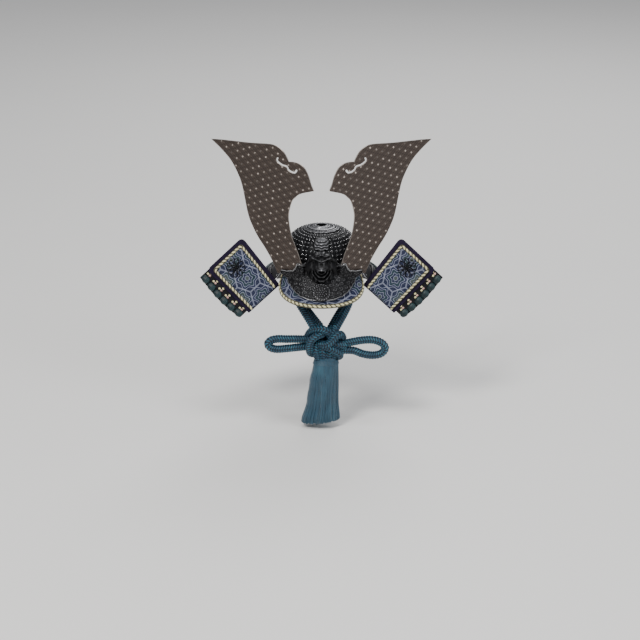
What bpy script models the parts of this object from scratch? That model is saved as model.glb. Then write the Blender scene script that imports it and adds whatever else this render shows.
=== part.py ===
"""Miniature display kabuto, built as separate pieces at its own size.

Metres, +Z up, the face of the helmet looks along -Y. The origin is the middle of the plane
of the bowl's rim, where a head or a head-shaped seat carries the helmet.
Angles round the helmet are in degrees from the front, positive towards +X.
"""
import math

import bmesh
import bpy
from mathutils import Vector, geometry

MM = 0.001
GAP = 0.3 * MM
# Extra room between curved pieces whose facets do not fall together.
FACET_ROOM = 0.35 * MM

# Bowl: a deep dome of narrow plates whose standing edges make the ribs.
BOWL_HALF_WIDTH = 37.0 * MM
BOWL_HALF_DEPTH = 42.0 * MM
BOWL_HEIGHT = 38.0 * MM
BOWL_FULLNESS = 3.2
BOWL_WALL = 1.5 * MM
BOWL_PLATES = 24
BOWL_ROWS = 6
RIB_HEIGHT = 0.6 * MM
CROWN_HOLE_RADIUS = 5.2 * MM
BOWL_HOLE_ROOM = 1.5 * MM

# Crown ring: a stepped rosette round the hole at the top of the bowl.
CROWN_RADIUS = 16.4 * MM
CROWN_HEIGHT = 3.6 * MM
CROWN_SIDES = 16
# Columns: radius share of CROWN_RADIUS, height share of CROWN_HEIGHT.
CROWN_STEPS = (
    (1.00, 0.06), (0.98, 0.36), (0.93, 0.46), (0.74, 0.60), (0.72, 0.50), (0.68, 0.50),
    (0.66, 0.78), (0.54, 0.92), (0.345, 1.00),
)

# Visor: a steep crescent below the brow, edged by a braid.
VISOR_SLOPE = 55.0
VISOR_LENGTH = 33.4 * MM
VISOR_END_ANGLE = 64.0
VISOR_FULLNESS = 2.4
VISOR_LAP = 2.0 * MM
VISOR_WALL = 1.4 * MM
BROW_SOFTNESS = 3.0 * MM
BRAID_DIAMETER = 3.2 * MM

# Horn stand: the cast plate on the visor with a sleeve for each horn.
STAND_REACH = 30.0 * MM
STAND_WALL = 1.5 * MM
STAND_END_ANGLE = 61.5
SLEEVE_WALL = 1.2 * MM
SLEEVE_FIRST_ANGLE = 26.5
SLEEVE_LAST_ANGLE = 63.0
SLEEVE_FADE = 6.0 * MM
SLEEVE_DEPTH = 6.0 * MM
SCROLL_RELIEF = 0.7 * MM
SCROLL_PITCH = 3.8 * MM
# Columns: angle, lower edge share of STAND_REACH, upper edge share of STAND_REACH.
STAND_EDGES = (
    (0.0, 1.00, -0.30), (10.0, 0.985, -0.30), (21.0, 0.90, -0.32), (27.0, 0.80, -0.37),
    (32.0, 0.705, -0.36), (36.0, 0.62, -0.18), (40.0, 0.53, -0.09), (50.0, 0.33, -0.015),
    (57.0, 0.21, -0.01), (61.5, 0.12, -0.02),
)
# Columns: angle, distance down the plate as a share of STAND_REACH, radius share of STAND_REACH.
SCROLLS = (
    (17.0, 0.30, 0.20), (30.0, 0.22, 0.20), (42.0, 0.20, 0.17), (53.0, 0.12, 0.13),
    (24.0, 0.62, 0.19), (35.0, 0.42, 0.12), (12.0, 0.84, 0.12),
)

# Round crest on the front of the horn stand.
BADGE_RADIUS = 9.6 * MM
BADGE_HEIGHT = 2.6 * MM
BADGE_DROP = 21.3 * MM

# Horns: flat pierced plates, set in a shallow V.
HORN_THICKNESS = 1.1 * MM
HORN_SPREAD = 3.062 * BOWL_HALF_WIDTH
HORN_HEIGHT = 132.0 * MM
# The horns follow the brow: how far its curve turns away between the middle and the sleeves.
HORN_TURN = 0.5504
HORN_SWEEP = math.degrees(math.atan(HORN_TURN * BOWL_HALF_DEPTH / BOWL_HALF_WIDTH))
HORN_FRONT = BOWL_HALF_DEPTH + 1.2 * MM
HORN_INNER = 0.5135 * BOWL_HALF_WIDTH
HORN_CLEARANCE = 0.35 * MM
SLIT_WIDTH = 1.5 * MM
HORN_FOOT = -0.0208
POCKET_TOP = 0.20
# Outline from the tip round the outer edge to the foot and back up the inner edge.
# Columns: distance from the middle as a share of HORN_SPREAD, height share of HORN_HEIGHT,
# and 1 where the outline has a corner.
HORN_OUTLINE = (
    (1.000, 0.973, 1), (0.908, 0.907, 0), (0.820, 0.827, 0), (0.757, 0.731, 0),
    (0.716, 0.633, 0), (0.668, 0.428, 0), (0.627, 0.330, 0), (0.573, 0.243, 0),
    (0.512, 0.168, 0), (0.450, 0.080, 0), (0.408, 0.000, 0), (0.400, HORN_FOOT, 1),
    (0.170, HORN_FOOT, 1), (0.168, 0.047, 0), (0.200, 0.147, 0), (0.233, 0.221, 0),
    (0.272, 0.315, 0), (0.293, 0.453, 0), (0.266, 0.567, 0), (0.232, 0.610, 0),
    (0.184, 0.645, 0), (0.066, 0.683, 1), (0.090, 0.732, 0), (0.113, 0.796, 0),
    (0.145, 0.849, 0), (0.187, 0.878, 0), (0.238, 0.888, 0), (0.290, 0.885, 1),
    (0.305, 0.914, 0), (0.337, 0.958, 0), (0.393, 0.991, 0), (0.458, 1.002, 0),
    (0.649, 0.989, 0), (0.883, 0.981, 0),
)
SLIT_LINE = (
    (0.388, 0.905), (0.394, 0.877), (0.350, 0.852), (0.310, 0.845), (0.290, 0.819),
    (0.242, 0.804), (0.218, 0.830),
)

# Beast head on the middle of the brow, and the plate above it.
HEAD_HALF_WIDTH = 16.2 * MM
HEAD_TOP = 26.0 * MM
HEAD_BOTTOM = -5.0 * MM
HEAD_DEPTH = 9.5 * MM
HEAD_SPOKE_COUNT = 32
HEAD_RING_COUNT = 8
CREST_PLATE_WIDTH = 17.0 * MM
CREST_PLATE_DEPTH = 3.0 * MM
CREST_PLATE_FOOT = 0.658 * BOWL_HEIGHT
CREST_PLATE_TOP = BOWL_HEIGHT - 2.5 * MM

# Neck guard: a band under the rim, then three laced lames in the form of an umbrella.
BAND_DROP = 7.5 * MM
BAND_FLARE = 2.6 * MM
BAND_WALL = 1.4 * MM
GUARD_FRONT_ANGLE = 72.0
GUARD_START = 1.2 * MM
GUARD_REACH = 43.0 * MM
GUARD_TOP = 1.5 * MM
GUARD_DROP = 40.0 * MM
GUARD_FULLNESS = 1.6
GUARD_DIP = 8.0 * MM
GUARD_DIP_ANGLE = 34.0
LAME_WALL = 1.2 * MM
# Columns: where a lame starts and ends, as shares of the guard's slope.
LAMES = ((0.00, 0.37), (0.30, 0.69), (0.62, 1.00))
LACE_HEIGHT = 2.0 * MM
# Columns for the laces on the second and on the third lame: where they start as a share of
# the lame, and where they end as a share of the guard's slope.
LACE_ROWS = ((0.41, 0.608), (0.29, 0.930))
GUARD_LACE_COUNT = 12

# Turned-back flaps.
FLAP_ANGLE = 66.5
FLAP_HIDDEN_ANGLE = GUARD_FRONT_ANGLE - 0.6
FLAP_ROOT_INNER = 0.162
FLAP_ROOT_OUTER = 0.945
FLAP_DROOP = 9.5 * MM
FLAP_LENGTH = 63.5 * MM
FLAP_RISE_INNER = 49.0
FLAP_RISE_OUTER = 42.4
FLAP_SWEEP = 19.0
FLAP_WALL = 1.8 * MM
FLAP_BULGE = 2.0 * MM
FLAP_BEND = 0.12
FLAP_MARGIN_INNER = 5.0 * MM
FLAP_MARGIN_OUTER = 4.2 * MM
FLAP_MARGIN_END = 2.2 * MM
PANEL_WALL = 1.3 * MM
FLAP_BRAID_DIAMETER = 2.7 * MM
FLOWER_RADIUS = 8.0 * MM
FLOWER_HEIGHT = 1.8 * MM
FLOWER_ALONG = 0.70
FLOWER_ACROSS = 0.52
EDGE_PLATE_WIDTH = 9.8 * MM
EDGE_PLATE_BOW = 3.0 * MM
EDGE_PLATE_WALL = 1.3 * MM
EDGE_LAP = 5.0 * MM
EDGE_LACE_COUNT = 6
EDGE_LACE_WIDTH = 7.4 * MM
EDGE_LACE_HEIGHT = 4.2 * MM

# Chin cord, its knot and its tassel.
CORD_DIAMETER = 6.8 * MM
RING_RADIUS = 6.0 * MM
RING_WIRE = 1.0 * MM
RING_ANGLE = 70.4
TASSEL_TOP = -88.2 * MM
TASSEL_LENGTH = 70.0 * MM
TASSEL_WIDTH = 41.0 * MM
TASSEL_DEPTH_SHARE = 0.62
TASSEL_X = 2.5 * MM
TASSEL_Y = -42.0 * MM
TASSEL_STRIP_COUNT = 12

# Route points of the cord in metres, chosen by hand. The right-hand ones are not mirrored,
# because the bow is tied by hand.
STRAND_ROUTES = {
    "strand_left_front": (
        (-0.0311, -0.0137, -0.0142), (-0.0311, -0.0160, -0.0147), (-0.0309, -0.0177, -0.0170),
        (-0.0302, -0.0190, -0.0206), (-0.0278, -0.0230, -0.0270), (-0.0220, -0.0298, -0.0366),
        (-0.0135, -0.0375, -0.0487), (-0.0078, -0.0423, -0.0572),
    ),
    "strand_left_back": (
        (-0.0311, -0.0121, -0.0142), (-0.0311, -0.0098, -0.0147), (-0.0309, -0.0081, -0.0170),
        (-0.0303, -0.0076, -0.0206), (-0.0278, -0.0100, -0.0276), (-0.0215, -0.0177, -0.0364),
        (-0.0105, -0.0290, -0.0476), (-0.0025, -0.0350, -0.0562),
    ),
    "strand_right_front": (
        (0.0311, -0.0137, -0.0142), (0.0311, -0.0160, -0.0147), (0.0310, -0.0177, -0.0170),
        (0.0309, -0.0190, -0.0206), (0.0301, -0.0230, -0.0270), (0.0275, -0.0298, -0.0366),
        (0.0212, -0.0368, -0.0475), (0.0148, -0.0418, -0.0578),
    ),
    "strand_right_back": (
        (0.0311, -0.0121, -0.0142), (0.0311, -0.0098, -0.0147), (0.0310, -0.0081, -0.0170),
        (0.0309, -0.0076, -0.0206), (0.0297, -0.0100, -0.0276), (0.0258, -0.0177, -0.0364),
        (0.0168, -0.0292, -0.0480), (0.0093, -0.0363, -0.0594),
    ),
}
LOOP_ROUTES = {
    "loop_left": (
        (-0.0154, -0.0430, -0.0692), (-0.0260, -0.0440, -0.0686), (-0.0360, -0.0447, -0.0684),
        (-0.0455, -0.0450, -0.0682), (-0.0520, -0.0452, -0.0697), (-0.0550, -0.0453, -0.0736),
        (-0.0520, -0.0453, -0.0777), (-0.0455, -0.0452, -0.0792), (-0.0360, -0.0449, -0.0786),
        (-0.0260, -0.0442, -0.0777), (-0.0158, -0.0432, -0.0770),
    ),
    "loop_right": (
        (0.0233, -0.0432, -0.0738), (0.0340, -0.0440, -0.0712), (0.0440, -0.0447, -0.0694),
        (0.0540, -0.0451, -0.0694), (0.0625, -0.0453, -0.0728), (0.0655, -0.0453, -0.0782),
        (0.0615, -0.0452, -0.0838), (0.0530, -0.0450, -0.0858), (0.0430, -0.0445, -0.0846),
        (0.0330, -0.0438, -0.0812), (0.0221, -0.0434, -0.0808),
    ),
}
# Turns of the knot, in metres, chosen by hand as the cord's route is.
KNOT_TURNS = (
    ((-0.0106, -0.0420, -0.0625), (-0.0050, -0.0470, -0.0605), (0.0010, -0.0480, -0.0595),
     (0.0062, -0.0470, -0.0625), (0.0100, -0.0430, -0.0680)),
    ((0.0010, -0.0460, -0.0650), (-0.0060, -0.0495, -0.0668), (-0.0107, -0.0500, -0.0715),
     (-0.0118, -0.0480, -0.0780), (-0.0105, -0.0430, -0.0850)),
    ((-0.0020, -0.0460, -0.0735), (0.0070, -0.0500, -0.0738), (0.0150, -0.0490, -0.0695),
     (0.0205, -0.0440, -0.0650)),
    ((0.0040, -0.0455, -0.0790), (0.0120, -0.0480, -0.0795), (0.0185, -0.0470, -0.0835),
     (0.0180, -0.0420, -0.0880)),
    ((-0.0110, -0.0400, -0.0720), (0.0000, -0.0380, -0.0715), (0.0120, -0.0380, -0.0735),
     (0.0200, -0.0400, -0.0755)),
    ((-0.0060, -0.0390, -0.0630), (0.0020, -0.0370, -0.0700), (0.0060, -0.0400, -0.0800),
     (0.0025, -0.0420, -0.0860)),
    ((0.0130, -0.0390, -0.0625), (0.0080, -0.0370, -0.0720), (0.0000, -0.0390, -0.0790),
     (-0.0030, -0.0430, -0.0850)),
)
KNOT_GRAIN = 1.5 * MM
KNOT_FACES_KEPT = 0.10


def smooth_step(value):
    """0 below 0, 1 above 1, smooth between."""
    value = min(1.0, max(0.0, value))
    return value * value * (3.0 - 2.0 * value)


def table_value(rows, key, column):
    """Smooth reading of one column of a short table at key."""
    if key <= rows[0][0]:
        return rows[0][column]
    for low, high in zip(rows, rows[1:]):
        if key <= high[0]:
            share = (key - low[0]) / (high[0] - low[0])
            return low[column] + (high[column] - low[column]) * smooth_step(share)
    return rows[-1][column]


def smooth_curve(points, per_span, closed=False):
    """Points read from a Catmull-Rom curve through the given ones."""
    count = len(points)
    spans = count if closed else count - 1
    result = []
    for span in range(spans):
        if closed:
            around = [points[(span + step) % count] for step in (-1, 0, 1, 2)]
        else:
            around = [points[min(count - 1, max(0, span + step))] for step in (-1, 0, 1, 2)]
        before, start, end, after = (Vector(point) for point in around)
        for step in range(per_span):
            share = step / per_span
            result.append(0.5 * (
                2.0 * start + (end - before) * share
                + (2.0 * before - 5.0 * start + 4.0 * end - after) * share ** 2
                + (3.0 * start - before - 3.0 * end + after) * share ** 3))
    if not closed:
        result.append(Vector(points[-1]))
    return result


def rim_point(angle):
    """Point of the bowl's rim, at its outer wall between the ribs."""
    turn = math.radians(angle)
    return Vector((BOWL_HALF_WIDTH * math.sin(turn), -BOWL_HALF_DEPTH * math.cos(turn), 0.0))


def rim_normal(angle):
    """Level direction straight out of the rim."""
    turn = math.radians(angle)
    return Vector((math.sin(turn) / BOWL_HALF_WIDTH,
                   -math.cos(turn) / BOWL_HALF_DEPTH, 0.0)).normalized()


def bowl_point(angle, climb, inset=0.0):
    """Point of the dome; climb runs from 0 at the rim to a quarter turn at the pole."""
    turn = math.radians(angle)
    level = math.cos(climb) ** (2.0 / BOWL_FULLNESS)
    height = math.sin(climb) ** (2.0 / BOWL_FULLNESS)
    return Vector(((BOWL_HALF_WIDTH - inset) * level * math.sin(turn),
                   -(BOWL_HALF_DEPTH - inset) * level * math.cos(turn),
                   (BOWL_HEIGHT - inset) * height))


def bowl_height(x, y):
    """Height of the dome's outer wall above a point of the rim plane."""
    reach = math.hypot(x / BOWL_HALF_WIDTH, y / BOWL_HALF_DEPTH)
    return BOWL_HEIGHT * max(0.0, 1.0 - reach ** BOWL_FULLNESS) ** (1.0 / BOWL_FULLNESS)


def bowl_front(x, z):
    """Depth of the dome's front wall at a width and a height, as a positive number."""
    level = max(0.0, 1.0 - (max(z, 0.0) / BOWL_HEIGHT) ** BOWL_FULLNESS) ** (1.0 / BOWL_FULLNESS)
    across = min(0.98, abs(x) / (BOWL_HALF_WIDTH * max(level, 0.05)))
    return BOWL_HALF_DEPTH * level * math.sqrt(1.0 - across ** 2)


def brow_ramp(down):
    """How far along the visor's slope a point is, 0 above the brow."""
    if down <= -BROW_SOFTNESS:
        return 0.0
    if down >= BROW_SOFTNESS:
        return down
    return (down + BROW_SOFTNESS) ** 2 / (4.0 * BROW_SOFTNESS)


def brow_base(angle, down):
    slope = math.radians(VISOR_SLOPE)
    ramp = brow_ramp(down)
    out = rim_point(angle) + rim_normal(angle) * (ramp * math.cos(slope))
    out.z = -down + (1.0 - math.sin(slope)) * ramp
    return out


def surface_normal(surface, first, second, first_step, second_step):
    """Unit normal of a surface given by a function of two values."""
    along = surface(first + first_step, second) - surface(first - first_step, second)
    across = surface(first, second + second_step) - surface(first, second - second_step)
    return along.cross(across).normalized()


def brow_point(angle, down, lift):
    """Point above the front of the rim and the visor; down is measured from the rim."""
    normal = surface_normal(brow_base, angle, down, 0.5, 0.2 * MM)
    if normal.dot(rim_normal(angle)) < 0.0:
        normal.negate()
    return brow_base(angle, down) + normal * lift


def guard_base(angle, share):
    """Middle surface of the neck guard; share runs from its top to its lower edge."""
    from_front = (abs(angle) - FLAP_ANGLE) / GUARD_DIP_ANGLE
    dip = GUARD_DIP * (1.0 - smooth_step(from_front)) * smooth_step(share / 0.25)
    out = rim_point(angle) + rim_normal(angle) * (GUARD_START + GUARD_REACH * share)
    out.z = -(GUARD_TOP + GUARD_DROP * max(0.0, share) ** GUARD_FULLNESS) - dip
    return out


def guard_point(angle, share, lift):
    normal = surface_normal(guard_base, angle, share, 0.5, 0.01)
    if normal.z < 0.0:
        normal.negate()
    return guard_base(angle, share) + normal * lift


def flap_frame():
    """Corners of the right-hand flap: root inner, root outer, end inner, end outer."""
    root_inner = guard_point(FLAP_ANGLE, FLAP_ROOT_INNER, LAME_WALL)
    root_inner.z -= FLAP_DROOP
    root_outer = guard_point(FLAP_ANGLE, FLAP_ROOT_OUTER, LAME_WALL)
    ends = []
    for root, rise in ((root_inner, FLAP_RISE_INNER), (root_outer, FLAP_RISE_OUTER)):
        level = math.cos(math.radians(rise)) * FLAP_LENGTH
        sweep = math.radians(FLAP_SWEEP)
        ends.append(root + Vector((level * math.cos(sweep), level * math.sin(sweep),
                                   math.sin(math.radians(rise)) * FLAP_LENGTH)))
    return root_inner, root_outer, ends[0], ends[1]


def flap_base(along, across):
    """Middle surface of the right-hand flap.

    along runs from the hidden root (-FLAP_BEND) round the bend (0) to the free edge (1);
    across runs from the inner long edge (0) to the outer long edge (1) and past it.
    """
    root_inner, root_outer, end_inner, end_outer = flap_frame()
    root = root_inner.lerp(root_outer, across)
    end = end_inner.lerp(end_outer, across)
    share = FLAP_ROOT_INNER + (FLAP_ROOT_OUTER - FLAP_ROOT_INNER) * min(1.0, max(0.0, across))
    behind = guard_base(FLAP_HIDDEN_ANGLE, share) - guard_base(FLAP_ANGLE, share)
    if along < FLAP_BEND:
        step = (along + FLAP_BEND) / (2.0 * FLAP_BEND)
        bent = (root + behind).lerp(root, step)
        point = bent.lerp(root.lerp(root.lerp(end, FLAP_BEND), step), step)
    else:
        point = root.lerp(end, along)
    out = (root_outer - root_inner).cross(end_inner - root_inner).normalized()
    if out.y > 0.0:
        out.negate()
    crown = math.sin(math.pi * min(1.0, max(0.0, across))) * smooth_step(along / 0.5)
    return point + out * (FLAP_BULGE * crown)


def flap_point(along, across, lift):
    normal = surface_normal(flap_base, along, across, 0.02, 0.02)
    if along > -FLAP_BEND * 0.5 and normal.y > 0.0:
        normal.negate()
    if along <= -FLAP_BEND * 0.5 and normal.x > 0.0:
        normal.negate()
    return flap_base(along, across) + normal * lift


def flap_width():
    root_inner, root_outer, end_inner, end_outer = flap_frame()
    return 0.5 * ((root_outer - root_inner).length + (end_outer - end_inner).length)


def side_name(name, side):
    return name + ("_right" if side > 0 else "_left")


def mirrored(points, side):
    """Copies of the points, mirrored across the middle for the left side."""
    return [Vector((point.x * side, point.y, point.z)) for point in points]


def colour_material(name, colour, roughness, metallic):
    material = bpy.data.materials.new(name)
    material.use_nodes = True
    shader = material.node_tree.nodes["Principled BSDF"]
    shader.inputs["Base Color"].default_value = (*colour, 1.0)
    shader.inputs["Roughness"].default_value = roughness
    shader.inputs["Metallic"].default_value = metallic
    material.diffuse_color = (*colour, 1.0)
    return material


def add_object(name, vertices, faces, material, side=1):
    """One closed mesh object with its faces pointing out."""
    mesh = bpy.data.meshes.new(name)
    mesh.from_pydata(mirrored(vertices, side), [], faces)
    work = bmesh.new()
    work.from_mesh(mesh)
    bmesh.ops.remove_doubles(work, verts=work.verts, dist=0.002 * MM)
    bmesh.ops.recalc_face_normals(work, faces=work.faces)
    if work.calc_volume(signed=True) < 0.0:
        bmesh.ops.reverse_faces(work, faces=work.faces)
    work.to_mesh(mesh)
    work.free()
    mesh.shade_smooth()
    mesh.set_sharp_from_angle(angle=math.radians(35.0))
    mesh.materials.append(material)
    solid = bpy.data.objects.new(name, mesh)
    bpy.context.collection.objects.link(solid)
    return solid


def bridge_rings(fine, coarse, closed=True):
    """Triangles between two rows of indices, the first with one or two times the points."""
    edges = len(coarse) if closed else len(coarse) - 1
    ratio = (len(fine) if closed else len(fine) - 1) // edges
    faces = []
    for edge in range(edges):
        here = coarse[edge]
        there = coarse[(edge + 1) % len(coarse)]
        row = [fine[(edge * ratio + step) % len(fine)] for step in range(ratio + 1)]
        if ratio == 1:
            faces.append((row[0], row[1], there, here))
        else:
            faces.append((row[0], row[1], here))
            faces.append((row[1], row[2], there))
            faces.append((here, row[1], there))
    return faces


def grid_faces(rows, columns, start, wrap=False):
    """Quads of a grid of rows x columns points stored row by row from start."""
    faces = []
    spans = columns if wrap else columns - 1
    for row in range(rows - 1):
        for column in range(spans):
            right = (column + 1) % columns
            faces.append((start + row * columns + column, start + row * columns + right,
                          start + (row + 1) * columns + right,
                          start + (row + 1) * columns + column))
    return faces


def border(rows, columns, start):
    """Indices round the border of a grid, once round."""
    top = [start + column for column in range(columns - 1)]
    right = [start + row * columns + columns - 1 for row in range(rows - 1)]
    bottom = [start + (rows - 1) * columns + column for column in range(columns - 1, 0, -1)]
    left = [start + row * columns for row in range(rows - 1, 0, -1)]
    return top + right + bottom + left


def plate_solid(front, back):
    """Vertices and faces of a plate from two grids, the back one as fine or half as fine."""
    vertices = [point for row in front for point in row]
    count = len(vertices)
    vertices += [point for row in back for point in row]
    faces = grid_faces(len(front), len(front[0]), 0)
    faces += grid_faces(len(back), len(back[0]), count)
    faces += bridge_rings(border(len(front), len(front[0]), 0),
                          border(len(back), len(back[0]), count))
    return vertices, faces


def ring_solid(outer, inner):
    """Vertices and faces of a hollow body open at both ends, from two wrapped grids."""
    vertices = [point for row in outer for point in row]
    count = len(vertices)
    vertices += [point for row in inner for point in row]
    wide, narrow = len(outer[0]), len(inner[0])
    faces = grid_faces(len(outer), wide, 0, wrap=True)
    faces += grid_faces(len(inner), narrow, count, wrap=True)
    for outer_row, inner_row in ((0, 0), (len(outer) - 1, len(inner) - 1)):
        faces += bridge_rings([outer_row * wide + column for column in range(wide)],
                              [count + inner_row * narrow + column for column in range(narrow)])
    return vertices, faces


def tube_solid(path, radius, sides, up=(0.0, 0.0, 1.0)):
    """Vertices and faces of a closed tube along a path."""
    vertices = []
    for index, point in enumerate(path):
        ahead = path[min(index + 1, len(path) - 1)] - path[max(index - 1, 0)]
        first = ahead.cross(Vector(up)).normalized()
        second = ahead.cross(first).normalized()
        for side in range(sides):
            turn = 2.0 * math.pi * side / sides
            vertices.append(point + first * (math.cos(turn) * radius)
                            + second * (math.sin(turn) * radius))
    faces = grid_faces(len(path), sides, 0, wrap=True)
    faces.append(tuple(range(sides)))
    faces.append(tuple(range(len(vertices) - sides, len(vertices))))
    return vertices, faces


def extruded_outline(outer, holes, place):
    """Vertices and faces of a flat plate; place(point, side) gives its two faces."""
    loops = [outer] + holes
    flat = [point for loop in loops for point in loop]
    count = len(flat)
    vertices = [place(point, 1.0) for point in flat] + [place(point, -1.0) for point in flat]
    triangles = geometry.tessellate_polygon([[Vector((x, y, 0.0)) for x, y in loop]
                                             for loop in loops])
    faces = [tuple(triangle) for triangle in triangles]
    faces += [tuple(index + count for index in reversed(triangle)) for triangle in triangles]
    start = 0
    for loop in loops:
        for index in range(len(loop)):
            here = start + index
            there = start + (index + 1) % len(loop)
            faces.append((here, there, there + count, here + count))
        start += len(loop)
    return vertices, faces


def climb_at(radius):
    """Climb at which the dome's level half width is the given radius."""
    return math.acos((radius / BOWL_HALF_WIDTH) ** (BOWL_FULLNESS / 2.0))


def make_bowl(material):
    opening = climb_at(CROWN_HOLE_RADIUS + BOWL_HOLE_ROOM)
    crown_climb = climb_at(CROWN_RADIUS + GAP)
    columns = BOWL_PLATES * 2
    outer, inner = [], []
    for row in range(BOWL_ROWS + 1):
        climb = opening * row / BOWL_ROWS
        rib = RIB_HEIGHT * max(0.0, 1.0 - (climb / crown_climb) ** 3)
        outer.append([bowl_point(360.0 * column / columns, climb, -rib * (column % 2))
                      for column in range(columns)])
        if row % 2 == 0:
            inner.append([bowl_point(360.0 * column / BOWL_PLATES, climb, BOWL_WALL)
                          for column in range(BOWL_PLATES)])
    vertices, faces = ring_solid(outer, inner)
    add_object("bowl", vertices, faces, material)


def make_crown_ring(material):
    rows = []
    hole = CROWN_HOLE_RADIUS
    for share_out, share_up in CROWN_STEPS:
        rows.append((max(hole, CROWN_RADIUS * share_out), share_up))
    vertices, loops = [], []
    for radius, share_up in rows + [(hole, None), (CROWN_RADIUS, None)]:
        ring = []
        for side in range(CROWN_SIDES):
            turn = 2.0 * math.pi * side / CROWN_SIDES
            x, y = radius * math.cos(turn), radius * math.sin(turn)
            if share_up is None:
                z = bowl_height(x, y) + GAP
            else:
                z = BOWL_HEIGHT + GAP + (share_up - 0.2) * CROWN_HEIGHT
            ring.append(len(vertices))
            vertices.append(Vector((x, y, z)))
        loops.append(ring)
    faces = []
    for lower, upper in zip(loops, loops[1:] + loops[:1]):
        faces += bridge_rings(lower, upper)
    add_object("crown_ring", vertices, faces, material)


def visor_reach(angle):
    share = min(1.0, abs(angle) / VISOR_END_ANGLE)
    return VISOR_LENGTH * (1.0 - share ** VISOR_FULLNESS) ** (1.0 / VISOR_FULLNESS)


def visor_lift():
    return RIB_HEIGHT + GAP


def make_visor(material):
    rows = 4
    front, back = [], []
    for row in range(rows + 1):
        front.append([])
        back.append([])
        for angle in visor_angles():
            down = -VISOR_LAP + (visor_reach(angle) + VISOR_LAP) * row / rows
            back[-1].append(brow_point(angle, down, visor_lift()))
            front[-1].append(brow_point(angle, down, visor_lift() + VISOR_WALL))
    vertices, faces = plate_solid(front, back)
    add_object("visor", vertices, faces, material)


def visor_angles():
    """Angles of the visor's columns, closer together towards its ends."""
    columns = 24
    return [VISOR_END_ANGLE * math.sin(math.pi * (column / columns - 0.5))
            for column in range(columns + 1)]


def braid_path():
    """Middle line of the braid, just past the visor's edge."""
    lift = visor_lift() + 0.5 * VISOR_WALL
    angles = visor_angles()
    edge = [brow_point(angle, visor_reach(angle), lift) for angle in angles]
    path = []
    for index in range(1, len(angles) - 1):
        ahead = (edge[index + 1] - edge[index - 1]).normalized()
        normal = brow_point(angles[index], visor_reach(angles[index]), lift + MM) - edge[index]
        out = ahead.cross(normal).normalized()
        if out.z > 0.0:
            out.negate()
        path.append(edge[index] + out * (GAP + 0.5 * BRAID_DIAMETER))
    return path


def make_visor_braid(material):
    vertices, faces = tube_solid(braid_path(), 0.5 * BRAID_DIAMETER, 6)
    add_object("visor_braid", vertices, faces, material)


def horn_plane_y(x):
    """Depth of the horn's middle plane at a distance from the middle."""
    return -HORN_FRONT + (abs(x) - HORN_INNER) * math.tan(math.radians(HORN_SWEEP))


def horn_normal():
    """Direction out of the front face of the right-hand horn."""
    sweep = math.radians(HORN_SWEEP)
    return Vector((math.sin(sweep), -math.cos(sweep), 0.0))


def stand_lift():
    return visor_lift() + VISOR_WALL + GAP + FACET_ROOM


def sleeve_share(angle, down):
    """1 where the plate swells out over the foot of a horn, 0 away from it."""
    size = abs(angle)
    sides = smooth_step((size - SLEEVE_FIRST_ANGLE) / 3.5)
    sides *= smooth_step((SLEEVE_LAST_ANGLE - size) / 4.0)
    return sides * smooth_step((SLEEVE_DEPTH + SLEEVE_FADE - down) / SLEEVE_FADE)


def scroll_height(angle, down):
    """Raised scroll work of the cast plate, as a share of SCROLL_RELIEF."""
    here = brow_base(abs(angle), down)
    height = 0.25
    for centre_angle, centre_down, radius_share in SCROLLS:
        centre = brow_base(centre_angle, centre_down * STAND_REACH)
        away = here - centre
        radius = radius_share * STAND_REACH
        if away.length < radius:
            side = rim_normal(centre_angle).cross(Vector((0.0, 0.0, 1.0)))
            turn = math.atan2(away.z, away.dot(side)) / (2.0 * math.pi)
            wave = 0.5 + 0.5 * math.cos(2.0 * math.pi * (away.length / SCROLL_PITCH - turn))
            height = max(height, wave * smooth_step((radius - away.length) / (0.2 * radius)))
    return height


def stand_front(angle, down, on_border):
    """Point of the plate's front face; over a horn's foot it swells out to cover it."""
    relief = SCROLL_RELIEF * (1.0 if on_border else scroll_height(angle, down))
    point = brow_point(angle, down, stand_lift() + STAND_WALL + relief)
    side = 1.0 if angle >= 0.0 else -1.0
    out = horn_normal()
    out.x *= side
    foot = Vector((side * HORN_INNER, -HORN_FRONT, 0.0))
    reach = 0.5 * HORN_THICKNESS + HORN_CLEARANCE + SLEEVE_WALL + relief
    swell = max(0.0, reach - (point - foot).dot(out))
    return point + out * (swell * sleeve_share(angle, down))


def make_horn_stand(material):
    columns, rows = 32, 8
    front, back = [], []
    for row in range(rows + 1):
        line = []
        for column in range(columns + 1):
            angle = STAND_END_ANGLE * (2.0 * column / columns - 1.0)
            low = table_value(STAND_EDGES, abs(angle), 1) * STAND_REACH
            high = table_value(STAND_EDGES, abs(angle), 2) * STAND_REACH
            down = high + (low - high) * row / rows
            on_border = min(row, rows - row, column, columns - column) == 0
            line.append((angle, down, on_border))
        front.append([stand_front(*spot) for spot in line])
        if row % 2 == 0:
            back.append([brow_point(angle, down, stand_lift())
                         for angle, down, on_border in line[::2]])
    vertices, faces = plate_solid(front, back)
    stand = add_object("horn_stand", vertices, faces, material)
    for side in (1, -1):
        vertices, faces = extruded_outline(horn_foot_outline(), [], horn_place(
            0.5 * HORN_THICKNESS + HORN_CLEARANCE))
        cutter = add_object(side_name("horn_pocket_cutter", side), vertices, faces, material, side)
        cutter.hide_render = True
        cutter.display_type = "WIRE"
        cut = stand.modifiers.new(side_name("pocket", side), "BOOLEAN")
        cut.operation = "DIFFERENCE"
        cut.object = cutter


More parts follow.
